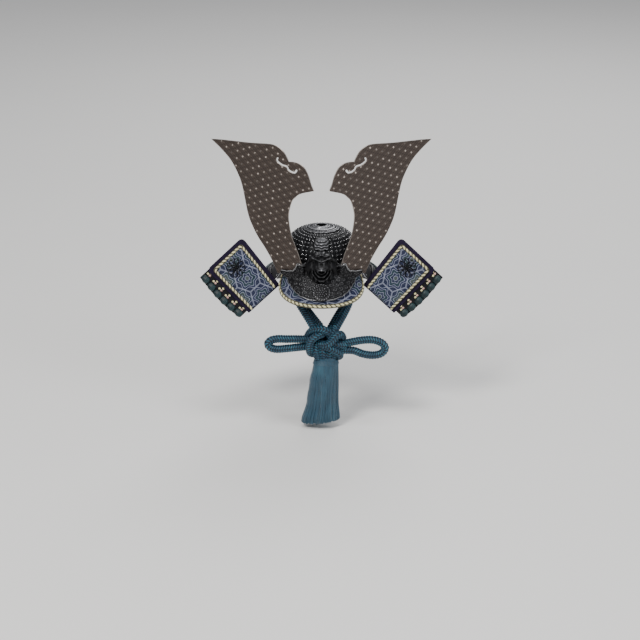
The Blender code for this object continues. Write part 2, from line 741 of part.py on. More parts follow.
def horn_outline(per_span):
    """Outline of a horn in its own plane: level distance from the middle, height."""
    points = [(out * HORN_SPREAD, up * HORN_HEIGHT, corner) for out, up, corner in HORN_OUTLINE]
    starts = [index for index, point in enumerate(points) if point[2]]
    outline = []
    for number, start in enumerate(starts):
        end = starts[(number + 1) % len(starts)]
        length = (end - start) % len(points)
        run = [points[(start + step) % len(points)][:2] + (0.0,) for step in range(length + 1)]
        outline += [Vector(run[0])] if length == 1 else smooth_curve(run, per_span)[:-1]
    return [(point.x, point.y) for point in outline]


def horn_foot_outline():
    """The horn's foot with clearance all round, open above the stand's upper edge."""
    low, high = HORN_FOOT * HORN_HEIGHT, POCKET_TOP * HORN_HEIGHT
    outline = horn_outline(2)
    inside = [point for point in outline if low - GAP < point[1] < high]
    middle = sum(point[0] for point in inside) / len(inside)
    inner = sorted((point for point in inside if point[0] < middle), key=lambda spot: spot[1])
    outer = sorted((point for point in inside if point[0] >= middle), key=lambda spot: spot[1])
    left = [(x - HORN_CLEARANCE, z) for x, z in inner]
    right = [(x + HORN_CLEARANCE, z) for x, z in outer]
    left[0] = (left[0][0], low - HORN_CLEARANCE)
    right[0] = (right[0][0], low - HORN_CLEARANCE)
    return left[::-1] + right


def slit_outline():
    """Outline of the comma-shaped slit, of constant width with round ends."""
    line = smooth_curve([(out * HORN_SPREAD, up * HORN_HEIGHT, 0.0) for out, up in SLIT_LINE], 2)
    half = 0.5 * SLIT_WIDTH
    left, right = [], []
    for index, point in enumerate(line):
        ahead = line[min(index + 1, len(line) - 1)] - line[max(index - 1, 0)]
        across = Vector((-ahead.y, ahead.x, 0.0)).normalized()
        taper = 0.45 if index in (0, len(line) - 1) else 1.0
        left.append(point + across * (half * taper))
        right.append(point - across * (half * taper))
    return [(point.x, point.y) for point in left + right[::-1]]


def horn_place(half):
    """Placing of a flat point on either face of the right-hand horn's plane."""
    out = horn_normal()

    def place(point, face):
        x, z = point
        return Vector((x, horn_plane_y(x), z)) + out * (half * face)

    return place


def make_horns(material):
    for side in (1, -1):
        vertices, faces = extruded_outline(horn_outline(2), [slit_outline()],
                                           horn_place(0.5 * HORN_THICKNESS))
        add_object(side_name("horn", side), vertices, faces, material, side)


def make_badge(material):
    """Round crest on the stand: a rosette in low relief."""
    centre_lift = stand_lift() + STAND_WALL + SCROLL_RELIEF + GAP
    centre = brow_point(0.0, BADGE_DROP, centre_lift)
    normal = (brow_point(0.0, BADGE_DROP, centre_lift + MM) - centre) / MM
    across = Vector((1.0, 0.0, 0.0))
    up = normal.cross(across)
    if up.z < 0.0:
        up.negate()
    make_rosette("stand_badge", centre, across, up, normal, BADGE_RADIUS, BADGE_HEIGHT, 8,
                 material, curve=0.5 / BOWL_HALF_WIDTH)


def make_rosette(name, centre, across, up, normal, radius, height, petals, material,
                 side=1, curve=0.0):
    """Flower-shaped cast crest: petals round a raised heart, on a flat or curved back."""
    # Columns: radius share, height share, petal swell share.
    rings = ((0.16, 1.00, 0.0), (0.30, 0.55, 0.0), (0.52, 0.95, 0.4), (0.78, 0.85, 0.8),
             (0.92, 0.45, 1.0), (1.00, 0.00, 1.0))
    spokes = petals * 3
    vertices = [centre + normal * height]
    for share, rise, swell in rings:
        for spoke in range(spokes):
            turn = 2.0 * math.pi * spoke / spokes
            lobe = 0.5 + 0.5 * math.cos(petals * turn)
            reach = radius * share * (1.0 - 0.14 * swell * (1.0 - lobe))
            lift = height * rise * (0.62 + 0.38 * lobe) if rise < 1.0 else height * 0.9
            x = reach * math.cos(turn)
            sag = -curve * x * x
            vertices.append(centre + across * x + up * (reach * math.sin(turn))
                            + normal * (lift + sag))
    faces = [(0, 1 + spoke, 1 + (spoke + 1) % spokes) for spoke in range(spokes)]
    faces += grid_faces(len(rings), spokes, 1, wrap=True)
    edge = 1 + (len(rings) - 1) * spokes
    back = len(vertices)
    vertices.append(centre + normal * (-0.2 * MM))
    faces += [(back, edge + (spoke + 1) % spokes, edge + spoke) for spoke in range(spokes)]
    add_object(name, vertices, faces, material, side)


def head_edge(turn):
    """Outline of the beast head in the plane of the face: level and upright reach."""
    middle = 0.5 * (HEAD_TOP + HEAD_BOTTOM)
    half = 0.5 * (HEAD_TOP - HEAD_BOTTOM)
    level = math.cos(turn)
    upright = math.sin(turn)
    power = 2.0 / 2.3
    x = HEAD_HALF_WIDTH * math.copysign(abs(level) ** power, level)
    z = half * math.copysign(abs(upright) ** power, upright)
    x *= 1.0 - 0.30 * smooth_step(upright)
    scallop = 1.0 + 0.045 * math.cos(11.0 * turn + math.pi)
    return x * scallop, middle + z * scallop


def bump(x, z, at_x, at_z, wide, tall, height):
    """Soft raised spot, given on one side and mirrored by the use of abs(x)."""
    return height * math.exp(-((x - at_x) / wide) ** 2 - ((z - at_z) / tall) ** 2)


def head_relief(x, z):
    """Height of the beast's face above its back plane, as shares of HEAD_DEPTH."""
    half = HEAD_HALF_WIDTH
    level = abs(x) / half
    upright = (z - HEAD_BOTTOM) / (HEAD_TOP - HEAD_BOTTOM)
    relief = 0.34
    relief += bump(level, upright, 0.0, 0.42, 0.42, 0.20, 0.52)
    relief += bump(level, upright, 0.22, 0.40, 0.12, 0.07, 0.16)
    relief += bump(level, upright, 0.0, 0.72, 0.26, 0.16, 0.22)
    relief += bump(level, upright, 0.40, 0.66, 0.26, 0.07, 0.36)
    relief += bump(level, upright, 0.42, 0.55, 0.14, 0.055, 0.24)
    relief -= bump(level, upright, 0.0, 0.255, 0.36, 0.05, 0.34)
    relief += bump(level, upright, 0.0, 0.14, 0.36, 0.07, 0.22)
    relief += bump(level, upright, 0.82, 0.45, 0.16, 0.16, 0.14)
    relief += bump(level, upright, 0.74, 0.22, 0.16, 0.12, 0.12)
    return relief


def make_beast_head(material):
    """Face of a beast in heavy relief, its back lying on the horn stand."""
    middle = 0.5 * (HEAD_TOP + HEAD_BOTTOM)

    def back_y(x, z):
        lift = stand_lift() + STAND_WALL + SCROLL_RELIEF + GAP
        lift /= 1.0 - (1.0 - math.sin(math.radians(VISOR_SLOPE))) * smooth_step(
            (2.0 * BROW_SOFTNESS - z) / (3.0 * BROW_SOFTNESS))
        across = x / (BOWL_HALF_WIDTH + lift)
        return -(BOWL_HALF_DEPTH + lift) * math.sqrt(1.0 - across ** 2) - (
            brow_ramp(-z) / math.tan(math.radians(VISOR_SLOPE)))

    front, back = [], []
    for ring in range(1, HEAD_RING_COUNT + 1):
        share = ring / HEAD_RING_COUNT
        line, rear = [], []
        for spoke in range(HEAD_SPOKE_COUNT):
            x, z = head_edge(2.0 * math.pi * spoke / HEAD_SPOKE_COUNT)
            x, z = x * share, middle + (z - middle) * share
            fall = 0.25 if ring == HEAD_RING_COUNT else 1.0
            line.append(Vector((x, back_y(x, z) - HEAD_DEPTH * head_relief(x, z) * fall, z)))
            rear.append(Vector((x, back_y(x, z), z)))
        front.append(line)
        if ring % 4 == 0:
            back.append(rear[::2])
    vertices = [point for row in front for point in row]
    count = len(vertices)
    vertices += [point for row in back for point in row]
    narrow = HEAD_SPOKE_COUNT // 2
    faces = grid_faces(HEAD_RING_COUNT, HEAD_SPOKE_COUNT, 0, wrap=True)
    faces += grid_faces(len(back), narrow, count, wrap=True)
    outer = [(HEAD_RING_COUNT - 1) * HEAD_SPOKE_COUNT + spoke for spoke in range(HEAD_SPOKE_COUNT)]
    inner = [count + (len(back) - 1) * narrow + spoke for spoke in range(narrow)]
    faces += bridge_rings(outer, inner)
    tip = len(vertices)
    vertices.append(Vector((0.0, back_y(0.0, middle) - HEAD_DEPTH * head_relief(0.0, middle),
                            middle)))
    vertices.append(Vector((0.0, back_y(0.0, middle), middle)))
    faces += [(tip, (spoke + 1) % HEAD_SPOKE_COUNT, spoke) for spoke in range(HEAD_SPOKE_COUNT)]
    faces += [(tip + 1, count + spoke, count + (spoke + 1) % narrow) for spoke in range(narrow)]
    add_object("beast_head", vertices, faces, material)


def make_crest_plate(material):
    """Ridged plate that climbs the bowl above the beast head."""
    columns, rows = 6, 8
    half = 0.5 * CREST_PLATE_WIDTH
    front, back = [], []
    for row in range(rows + 1):
        share = row / rows
        z = CREST_PLATE_FOOT + (CREST_PLATE_TOP - CREST_PLATE_FOOT) * share
        width = half * (0.86 + 0.14 * math.sin(math.pi * share))
        front.append([])
        back.append([])
        for column in range(columns + 1):
            x = width * (2.0 * column / columns - 1.0)
            seat = bowl_front(x, z) + RIB_HEIGHT + GAP + FACET_ROOM
            ridge = 0.62 + 0.38 * math.cos(4.0 * math.pi * share) * math.cos(
                math.pi * x / CREST_PLATE_WIDTH)
            edge = 0.4 if min(row, rows - row, column, columns - column) == 0 else 1.0
            front[-1].append(Vector((x, -seat - CREST_PLATE_DEPTH * ridge * edge, z)))
            back[-1].append(Vector((x, -seat, z)))
    vertices, faces = plate_solid(front, back)
    add_object("crest_plate", vertices, faces, material)


def guard_angles(columns):
    """Angles round the back of the helmet from one front end of the guard to the other."""
    span = 360.0 - 2.0 * GUARD_FRONT_ANGLE
    angles = [GUARD_FRONT_ANGLE + span * column / columns for column in range(columns + 1)]
    return [angle if angle <= 180.0 else angle - 360.0 for angle in angles]


def make_base_band(material):
    """Band under the bowl's rim that carries the neck guard."""
    front, back = [], []
    start = VISOR_END_ANGLE + 2.5
    columns = 24
    span = 360.0 - 2.0 * start
    for share in (0.0, 1.0):
        outer, inner = [], []
        for column in range(columns + 1):
            angle = start + span * column / columns
            point = rim_point(angle) + rim_normal(angle) * (BAND_FLARE * share)
            point.z = -GAP - BAND_DROP * share
            outer.append(point)
            inner.append(point - rim_normal(angle) * BAND_WALL)
        front.append(outer)
        back.append(inner)
    vertices, faces = plate_solid(front, back)
    add_object("base_band", vertices, faces, material)


def lame_lift(number):
    return number * (LAME_WALL + GAP + 0.4 * FACET_ROOM)


def make_lames(material):
    columns = 2 * GUARD_LACE_COUNT
    for number, (start, end) in enumerate(LAMES):
        front, back = [], []
        rows = 3 if number == 0 else 2
        for row in range(rows + 1):
            share = start + (end - start) * row / rows
            lift = lame_lift(number)
            back.append([guard_point(angle, share, lift) for angle in guard_angles(columns)])
            front.append([guard_point(angle, share, lift + LAME_WALL)
                          for angle in guard_angles(columns)])
        vertices, faces = plate_solid(front, back)
        add_object("lame_%d" % (number + 1), vertices, faces, material)


def make_guard_lacing(material):
    """Rows of laces over the second and third lame, as a ribbed band each."""
    columns = GUARD_LACE_COUNT * 2
    for number in (1, 2):
        start, end = LAMES[number]
        first, low = LACE_ROWS[number - 1]
        top = start + (end - start) * first
        seat = lame_lift(number) + LAME_WALL + GAP + 0.5 * FACET_ROOM
        front, back = [], []
        for row in range(3):
            share = top + (low - top) * row / 2
            crown = (0.45, 1.0, 0.45)[row]
            front.append([])
            back.append([])
            for column, angle in enumerate(guard_angles(columns)):
                rib = 0.45 + 0.55 * (column % 2)
                front[-1].append(guard_point(angle, share, seat + LACE_HEIGHT * crown * rib))
                back[-1].append(guard_point(angle, share, seat))
        vertices, faces = plate_solid(front, back)
        add_object("lacing_%d" % (number + 1), vertices, faces, material)


def make_flaps(material):
    steps = (-1.0, -0.5, 0.0, 0.5, 1.0)
    alongs = [step * FLAP_BEND for step in steps]
    alongs += [FLAP_BEND + (1.0 - FLAP_BEND) * step / 6 for step in range(1, 7)]
    columns = 6
    for side in (1, -1):
        front, back = [], []
        for along in alongs:
            front.append([flap_point(along, column / columns, 0.5 * FLAP_WALL)
                          for column in range(columns + 1)])
            back.append([flap_point(along, column / columns, -0.5 * FLAP_WALL)
                         for column in range(columns + 1)])
        vertices, faces = plate_solid(front, back)
        add_object(side_name("flap", side), vertices, faces, material, side)


def panel_edges():
    """Inner, outer and end shares of the flap's braid line."""
    width = flap_width()
    half = 0.5 * FLAP_BRAID_DIAMETER
    inner = (FLAP_MARGIN_INNER + half) / width
    outer = 1.0 - (FLAP_MARGIN_OUTER + half) / width
    end = 1.0 - (FLAP_MARGIN_END + half) / FLAP_LENGTH
    return inner, outer, end


def make_flap_panels(material):
    """Brocade panel on each flap, inside the line of the braid."""
    inner, outer, end = panel_edges()
    width = flap_width()
    inset = 0.5 * FLAP_BRAID_DIAMETER + GAP + FACET_ROOM
    low, high = inner + inset / width, outer - inset / width
    last = end - inset / FLAP_LENGTH
    seat = 0.5 * FLAP_WALL + GAP + FACET_ROOM
    alongs = [0.02 + (last - 0.02) * step / 6 for step in range(7)]
    for side in (1, -1):
        front, back = [], []
        for along in alongs:
            acrosses = [low + (high - low) * column / 4 for column in range(5)]
            front.append([flap_point(along, across, seat + PANEL_WALL) for across in acrosses])
            back.append([flap_point(along, across, seat) for across in acrosses])
        vertices, faces = plate_solid(front, back)
        add_object(side_name("flap_panel", side), vertices, faces, material, side)


def flap_braid_path():
    """Line of the braid along three edges of the right-hand flap."""
    inner, outer, end = panel_edges()
    lift = 0.5 * (FLAP_WALL + FLAP_BRAID_DIAMETER) + GAP + 0.6 * FACET_ROOM
    spots = [(0.04 + (end - 0.10) * step / 6, inner) for step in range(7)]
    spots += [(end - 0.012, inner + 0.010), (end, inner + 0.045)]
    spots += [(end, inner + 0.045 + (outer - inner - 0.09) * step / 5) for step in range(1, 6)]
    spots += [(end - 0.012, outer - 0.010)]
    spots += [(end - 0.06 - (end - 0.10) * step / 6, outer) for step in range(7)]
    return [flap_point(along, across, lift) for along, across in spots]


def make_flap_braids(material):
    for side in (1, -1):
        path = flap_braid_path()
        vertices, faces = tube_solid(path, 0.5 * FLAP_BRAID_DIAMETER, 6, up=(0.0, 1.0, 0.0))
        add_object(side_name("flap_braid", side), vertices, faces, material, side)


def make_flap_flowers(material):
    seat = 0.5 * FLAP_WALL + PANEL_WALL + 2.0 * (GAP + FACET_ROOM)
    centre = flap_point(FLOWER_ALONG, FLOWER_ACROSS, seat)
    normal = (flap_point(FLOWER_ALONG, FLOWER_ACROSS, seat + MM) - centre) / MM
    along = flap_base(FLOWER_ALONG + 0.05, FLOWER_ACROSS) - flap_base(FLOWER_ALONG, FLOWER_ACROSS)
    along.normalize()
    across = along.cross(normal).normalized()
    for side in (1, -1):
        make_rosette(side_name("flap_flower", side), centre, across, along, normal,
                     FLOWER_RADIUS, FLOWER_HEIGHT, 6, material, side)


def edge_plate_share(along, reach):
    """Share across the flap of a point reach outside its outer edge."""
    return 1.0 + reach / flap_width()


def edge_reach(along):
    """Width of the laced edge plate outside the flap, bowed in the middle."""
    return EDGE_PLATE_WIDTH + EDGE_PLATE_BOW * math.sin(math.pi * (1.0 - along) ** 1.15)


def make_edge_plates(material):
    """Second lame of each turned-back flap, seen past its outer edge."""
    seat = -0.5 * FLAP_WALL - GAP - FACET_ROOM
    for side in (1, -1):
        front, back = [], []
        for step in range(11):
            along = 0.03 + 0.96 * step / 10
            front.append([])
            back.append([])
            for column in range(3):
                reach = -EDGE_LAP + (edge_reach(along) + EDGE_LAP) * column / 2
                across = edge_plate_share(along, reach)
                front[-1].append(flap_point(along, across, seat))
                back[-1].append(flap_point(along, across, seat - EDGE_PLATE_WALL))
        vertices, faces = plate_solid(front, back)
        add_object(side_name("edge_plate", side), vertices, faces, material, side)


def make_edge_lacing(material):
    """Fat laces along the outside of each flap, fused side by side."""
    seat = -0.5 * FLAP_WALL
    per_lace = 3
    steps = EDGE_LACE_COUNT * per_lace
    for side in (1, -1):
        front, back = [], []
        for step in range(steps + 1):
            along = 0.06 + 0.91 * step / steps
            swell = abs(math.sin(math.pi * step / per_lace))
            height = EDGE_LACE_HEIGHT * (0.25 + 0.75 * swell ** 0.6)
            outer = edge_reach(along) - 0.4 * MM
            front.append([])
            back.append([])
            for column in range(5):
                share = column / 4
                reach = outer - EDGE_LACE_WIDTH * (1.0 - share)
                dome = math.sin(math.pi * (0.06 + 0.88 * share))
                across = edge_plate_share(along, reach)
                front[-1].append(flap_point(along, across, seat + height * dome))
                back[-1].append(flap_point(along, across, seat))
        vertices, faces = plate_solid(front, [line[::2] for line in back[::2]])
        add_object(side_name("edge_lacing", side), vertices, faces, material, side)


def make_cord_rings(material):
    """Plain ring on each side under the band that the chin cord hangs from."""
    out = rim_normal(RING_ANGLE)
    down = Vector((0.0, 0.0, -1.0))
    corner = rim_point(RING_ANGLE) + out * (BAND_FLARE - BAND_WALL) + down * (GAP + BAND_DROP)
    centre = corner + (down - out).normalized() * (RING_RADIUS + RING_WIRE + GAP)
    along = out.cross(down)
    sides, turns = 6, 12
    vertices = []
    for turn in range(turns):
        angle = 2.0 * math.pi * turn / turns
        spoke = out * math.cos(angle) + down * math.sin(angle)
        for step in range(sides):
            roll = 2.0 * math.pi * step / sides
            vertices.append(centre + spoke * (RING_RADIUS + RING_WIRE * math.cos(roll))
                            + along * (RING_WIRE * math.sin(roll)))
    faces = grid_faces(turns, sides, 0, wrap=True)
    last = (turns - 1) * sides
    faces += bridge_rings([last + step for step in range(sides)], list(range(sides)))
    for side in (1, -1):
        add_object(side_name("cord_ring", side), vertices, faces, material, side)


def make_cord(name, route, per_span, material):
    """A length of cord: a round bevelled curve with closed ends."""
    curve = bpy.data.curves.new(name, "CURVE")
    curve.dimensions = "3D"
    curve.bevel_depth = 0.5 * CORD_DIAMETER
    curve.bevel_resolution = 2
    curve.use_fill_caps = True
    spline = curve.splines.new("POLY")
    points = smooth_curve(route, per_span)
    spline.points.add(len(points) - 1)
    for spot, point in zip(spline.points, points):
        spot.co = (*point, 1.0)
    curve.materials.append(material)
    cord = bpy.data.objects.new(name, curve)
    bpy.context.collection.objects.link(cord)


def make_knot(material):
    """Knot of the chin cord: its turns joined into one closed body."""
    vertices, faces = [], []
    for turn in KNOT_TURNS:
        path = smooth_curve(turn, 4)
        more, parts = tube_solid(path, 0.5 * CORD_DIAMETER, 10, up=(0.02, 1.0, 0.05))
        start = len(vertices)
        vertices += more
        faces += [tuple(index + start for index in face) for face in parts]
    knot = add_object("knot", vertices, faces, material)
    remesh = knot.modifiers.new("joined", "REMESH")
    remesh.mode = "VOXEL"
    remesh.voxel_size = KNOT_GRAIN
    fewer = knot.modifiers.new("fewer_faces", "DECIMATE")
    fewer.ratio = KNOT_FACES_KEPT


def make_tassel(material):
    """Tassel of silk threads in strips under a bound head."""
    # Columns: share of the length, half-width share of the full width, shift of the middle
    # as a share of the width, depth of the furrows between the strips.
    rows = ((0.00, 0.20, 0.060, 0.0), (0.03, 0.29, 0.060, 0.02), (0.12, 0.32, 0.050, 0.04),
            (0.40, 0.37, 0.005, 0.06), (0.68, 0.40, -0.030, 0.07), (0.985, 0.50, -0.085, 0.09),
            (1.00, 0.47, -0.085, 0.09))
    columns = TASSEL_STRIP_COUNT * 2
    vertices = []
    for share, half, shift, furrow in rows:
        for column in range(columns):
            turn = 2.0 * math.pi * column / columns
            reach = TASSEL_WIDTH * half * (1.0 - furrow * (column % 2))
            x = TASSEL_X + TASSEL_WIDTH * shift + reach * math.cos(turn)
            y = TASSEL_Y + reach * TASSEL_DEPTH_SHARE * math.sin(turn)
            slant = 0.10 * (x - TASSEL_X) * smooth_step((share - 0.6) / 0.4)
            vertices.append(Vector((x, y, TASSEL_TOP - TASSEL_LENGTH * share + slant)))
    faces = grid_faces(len(rows), columns, 0, wrap=True)
    faces.append(tuple(range(columns)))
    faces.append(tuple(range(len(vertices) - columns, len(vertices))))
    add_object("tassel", vertices, faces, material)


def clear_scene():
    for item in list(bpy.data.objects):
        bpy.data.objects.remove(item, do_unlink=True)


def main():
    clear_scene()
    black_iron = colour_material("black_iron", (0.016, 0.016, 0.019), 0.34, 0.8)
    grey_iron = colour_material("grey_iron", (0.09, 0.09, 0.10), 0.38, 0.85)
    horn_metal = colour_material("horn_metal", (0.075, 0.065, 0.060), 0.42, 0.75)
    lacquer = colour_material("black_lacquer", (0.012, 0.011, 0.014), 0.16, 0.0)
    leather = colour_material("purple_leather", (0.035, 0.022, 0.055), 0.55, 0.0)
    brocade = colour_material("blue_brocade", (0.10, 0.17, 0.26), 0.6, 0.0)
    braid = colour_material("cream_braid", (0.72, 0.66, 0.45), 0.6, 0.0)
    teal = colour_material("teal_silk", (0.012, 0.10, 0.14), 0.55, 0.0)
    make_bowl(black_iron)
    make_crown_ring(grey_iron)
    make_base_band(lacquer)
    make_visor(brocade)
    make_visor_braid(braid)
    make_horn_stand(black_iron)
    make_horns(horn_metal)
    make_badge(black_iron)
    make_beast_head(black_iron)
    make_crest_plate(grey_iron)
    make_lames(lacquer)
    make_guard_lacing(teal)
    make_flaps(leather)
    make_flap_panels(brocade)
    make_flap_braids(braid)
    make_flap_flowers(black_iron)
    make_edge_plates(lacquer)
    make_edge_lacing(teal)
    make_cord_rings(grey_iron)
    for name, route in STRAND_ROUTES.items():
        make_cord(name, route, 2, teal)
    for name, route in LOOP_ROUTES.items():
        make_cord(name, route, 2, teal)
    make_knot(teal)
    make_tassel(teal)


main()
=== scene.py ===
"""Dresses the miniature display kabuto: cast metal, lacquer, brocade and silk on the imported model.

Metres, +Z up, the face of the helmet looks along -Y. The origin is the middle of the plane of
the bowl's rim. Angles round the helmet are in degrees from the front, positive towards +X.
"""
import random
from functools import cache
from math import acos, atan, atan2, copysign, cos, exp, floor, hypot, pi, radians, sin, sqrt, tan

import bmesh
import bpy
from bpy.props import FloatProperty, FloatVectorProperty, PointerProperty
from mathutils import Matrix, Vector, geometry


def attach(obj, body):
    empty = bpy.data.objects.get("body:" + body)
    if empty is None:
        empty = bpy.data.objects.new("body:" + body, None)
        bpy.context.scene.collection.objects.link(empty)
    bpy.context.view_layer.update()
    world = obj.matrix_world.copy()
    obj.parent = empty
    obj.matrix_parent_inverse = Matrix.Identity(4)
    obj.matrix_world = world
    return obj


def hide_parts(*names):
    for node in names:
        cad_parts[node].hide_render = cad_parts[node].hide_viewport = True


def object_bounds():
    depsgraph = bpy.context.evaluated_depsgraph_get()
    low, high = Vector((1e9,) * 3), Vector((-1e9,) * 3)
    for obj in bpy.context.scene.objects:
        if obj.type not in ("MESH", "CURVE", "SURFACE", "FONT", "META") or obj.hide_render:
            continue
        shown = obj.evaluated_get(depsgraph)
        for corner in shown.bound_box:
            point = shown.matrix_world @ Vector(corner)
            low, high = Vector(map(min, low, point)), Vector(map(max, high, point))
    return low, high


bl_info = {"name": "Miniature kabuto", "version": (1, 0, 0), "blender": (4, 5, 0),
    "location": "3D View > Sidebar > Kabuto", "description":
    "Builds the pieces and finishes of a miniature display kabuto", "category": "Object",}

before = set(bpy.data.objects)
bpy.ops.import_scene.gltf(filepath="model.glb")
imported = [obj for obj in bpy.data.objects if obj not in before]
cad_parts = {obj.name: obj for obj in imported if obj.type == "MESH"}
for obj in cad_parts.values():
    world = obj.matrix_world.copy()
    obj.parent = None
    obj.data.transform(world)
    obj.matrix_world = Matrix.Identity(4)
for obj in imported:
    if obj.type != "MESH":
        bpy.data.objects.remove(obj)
CAD_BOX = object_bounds()

MM = 0.001
TURN = 2.0 * pi
GAP = 0.3 * MM
FACET_ROOM = 0.35 * MM

BOWL_HALF_WIDTH = 37.0 * MM
BOWL_HALF_DEPTH = 42.0 * MM
BOWL_HEIGHT = 38.0 * MM
BOWL_FULLNESS = 3.2
BOWL_WALL = 1.5 * MM
BOWL_PLATES = 24
RIB_HEIGHT = 0.6 * MM
CROWN_HOLE_RADIUS = 5.2 * MM
BOWL_HOLE_ROOM = 1.5 * MM
CROWN_RADIUS = 16.4 * MM
CROWN_HEIGHT = 3.6 * MM

VISOR_SLOPE = 55.0
VISOR_LENGTH = 33.4 * MM
VISOR_END_ANGLE = 64.0
VISOR_FULLNESS = 2.4
VISOR_LAP = 2.0 * MM
VISOR_WALL = 1.4 * MM
VISOR_LIFT = RIB_HEIGHT + GAP
BROW_SOFTNESS = 3.0 * MM
BRAID_DIAMETER = 3.2 * MM

STAND_REACH = 30.0 * MM
STAND_WALL = 1.5 * MM
STAND_END_ANGLE = 61.5
STAND_LIFT = VISOR_LIFT + VISOR_WALL + GAP + FACET_ROOM
SLEEVE_WALL = 1.2 * MM
SLEEVE_FADE = 6.0 * MM
SLEEVE_DEPTH = 6.0 * MM
SCROLL_RELIEF = 0.7 * MM
# Columns: angle, lower edge share of STAND_REACH, upper edge share of STAND_REACH.
STAND_EDGES = ((0.0, 1.00, -0.30), (10.0, 0.985, -0.30), (21.0, 0.90, -0.32), (27.0, 0.80, -0.37),
    (32.0, 0.705, -0.36), (36.0, 0.62, -0.18), (40.0, 0.53, -0.09), (50.0, 0.33, -0.015),
    (57.0, 0.21, -0.01), (61.5, 0.12, -0.02),)
BADGE_RADIUS = 9.6 * MM
BADGE_HEIGHT = 2.6 * MM
BADGE_DROP = 21.3 * MM

HORN_THICKNESS = 1.1 * MM
HORN_SPREAD = 3.062 * BOWL_HALF_WIDTH
HORN_HEIGHT = 132.0 * MM
HORN_SWEEP = atan(0.5504 * BOWL_HALF_DEPTH / BOWL_HALF_WIDTH)
HORN_FRONT = BOWL_HALF_DEPTH + 1.2 * MM
HORN_INNER = 0.5135 * BOWL_HALF_WIDTH
HORN_CLEARANCE = 0.35 * MM
HORN_FOOT = -0.0208
SLIT_WIDTH = 1.5 * MM
# Columns: distance from the middle as a share of HORN_SPREAD, height share of HORN_HEIGHT,
# and 1 where the outline has a corner.
HORN_OUTLINE = ((1.000, 0.973, 1), (0.908, 0.907, 0), (0.820, 0.827, 0), (0.757, 0.731, 0),
    (0.716, 0.633, 0), (0.668, 0.428, 0), (0.627, 0.330, 0), (0.573, 0.243, 0), (0.512, 0.168, 0),
    (0.450, 0.080, 0), (0.408, 0.000, 0), (0.400, HORN_FOOT, 1), (0.170, HORN_FOOT, 1), (0.168, 0.047, 0),
    (0.200, 0.147, 0), (0.233, 0.221, 0), (0.272, 0.315, 0), (0.293, 0.453, 0), (0.266, 0.567, 0),
    (0.232, 0.610, 0), (0.184, 0.645, 0), (0.066, 0.683, 1), (0.090, 0.732, 0), (0.113, 0.796, 0),
    (0.145, 0.849, 0), (0.187, 0.878, 0), (0.238, 0.888, 0), (0.290, 0.885, 1), (0.305, 0.914, 0),
    (0.337, 0.958, 0), (0.393, 0.991, 0), (0.458, 1.002, 0), (0.649, 0.989, 0), (0.883, 0.981, 0),)
SLIT_LINE = ((0.388, 0.905), (0.394, 0.877), (0.350, 0.852), (0.310, 0.845), (0.290, 0.819), (0.242, 0.804),
    (0.218, 0.830),)

HEAD_HALF_WIDTH = 16.2 * MM
HEAD_TOP = 26.0 * MM
HEAD_BOTTOM = -5.0 * MM
HEAD_DEPTH = 9.5 * MM
CREST_PLATE_WIDTH = 17.0 * MM
CREST_PLATE_DEPTH = 3.0 * MM
CREST_PLATE_FOOT = 0.658 * BOWL_HEIGHT
CREST_PLATE_TOP = BOWL_HEIGHT - 2.5 * MM

BAND_DROP = 7.5 * MM
BAND_FLARE = 2.6 * MM
BAND_WALL = 1.4 * MM
GUARD_FRONT_ANGLE = 72.0
GUARD_START = 1.2 * MM
GUARD_REACH = 43.0 * MM
GUARD_TOP = 1.5 * MM
GUARD_DROP = 40.0 * MM
GUARD_FULLNESS = 1.6
GUARD_DIP = 8.0 * MM
GUARD_DIP_ANGLE = 34.0
LAME_WALL = 1.2 * MM
LAME_STEP = LAME_WALL + GAP + 0.4 * FACET_ROOM
# Columns: where a lame starts and ends, as shares of the guard's slope.
LAMES = ((0.00, 0.37), (0.30, 0.69), (0.62, 1.00))

FLAP_ANGLE = 66.5
FLAP_HIDDEN_ANGLE = GUARD_FRONT_ANGLE - 0.6
FLAP_ROOT_INNER = 0.162
FLAP_ROOT_OUTER = 0.945
FLAP_DROOP = 9.5 * MM
FLAP_LENGTH = 63.5 * MM
FLAP_RISE_INNER = 49.0
FLAP_RISE_OUTER = 42.4
FLAP_SWEEP = 19.0
FLAP_WALL = 1.8 * MM
FLAP_BULGE = 2.0 * MM
FLAP_BEND = 0.12
FLAP_MARGIN_INNER = 5.0 * MM
FLAP_MARGIN_OUTER = 4.2 * MM
FLAP_MARGIN_END = 4.4 * MM
FLAP_CORNER = 5.0 * MM
PANEL_WALL = 1.3 * MM
FLAP_BRAID_DIAMETER = 2.7 * MM
FLOWER_RADIUS = 8.0 * MM
FLOWER_ALONG = 0.70
FLOWER_ACROSS = 0.52
EDGE_PLATE_WIDTH = 9.8 * MM
EDGE_PLATE_BOW = 3.0 * MM
EDGE_PLATE_WALL = 1.3 * MM
EDGE_LAP = 5.0 * MM
EDGE_LACE_COUNT = 6
EDGE_LACE_WIDTH = 7.4 * MM

CORD_DIAMETER = 6.8 * MM
RING_RADIUS = 6.0 * MM
RING_WIRE = 1.0 * MM
RING_ANGLE = 70.4
CAMERA_RISE = radians(16.4)
CAMERA_TILT = radians(90.0 - 17.73)
TASSEL_TOP = -88.2 * MM
TASSEL_LENGTH = 70.0 * MM
TASSEL_WIDTH = 41.0 * MM
TASSEL_DEPTH_SHARE = 0.62
TASSEL_X = 2.5 * MM
TASSEL_Y = -42.0 * MM
# Columns: share of the length, half-width share of the full width, shift of the middle as a
# share of the width.
TASSEL_ROWS = ((0.00, 0.20, 0.060), (0.03, 0.29, 0.060), (0.12, 0.32, 0.050), (0.40, 0.37, 0.005),
    (0.68, 0.40, -0.030), (0.985, 0.49, -0.085), (1.00, 0.47, -0.085),)

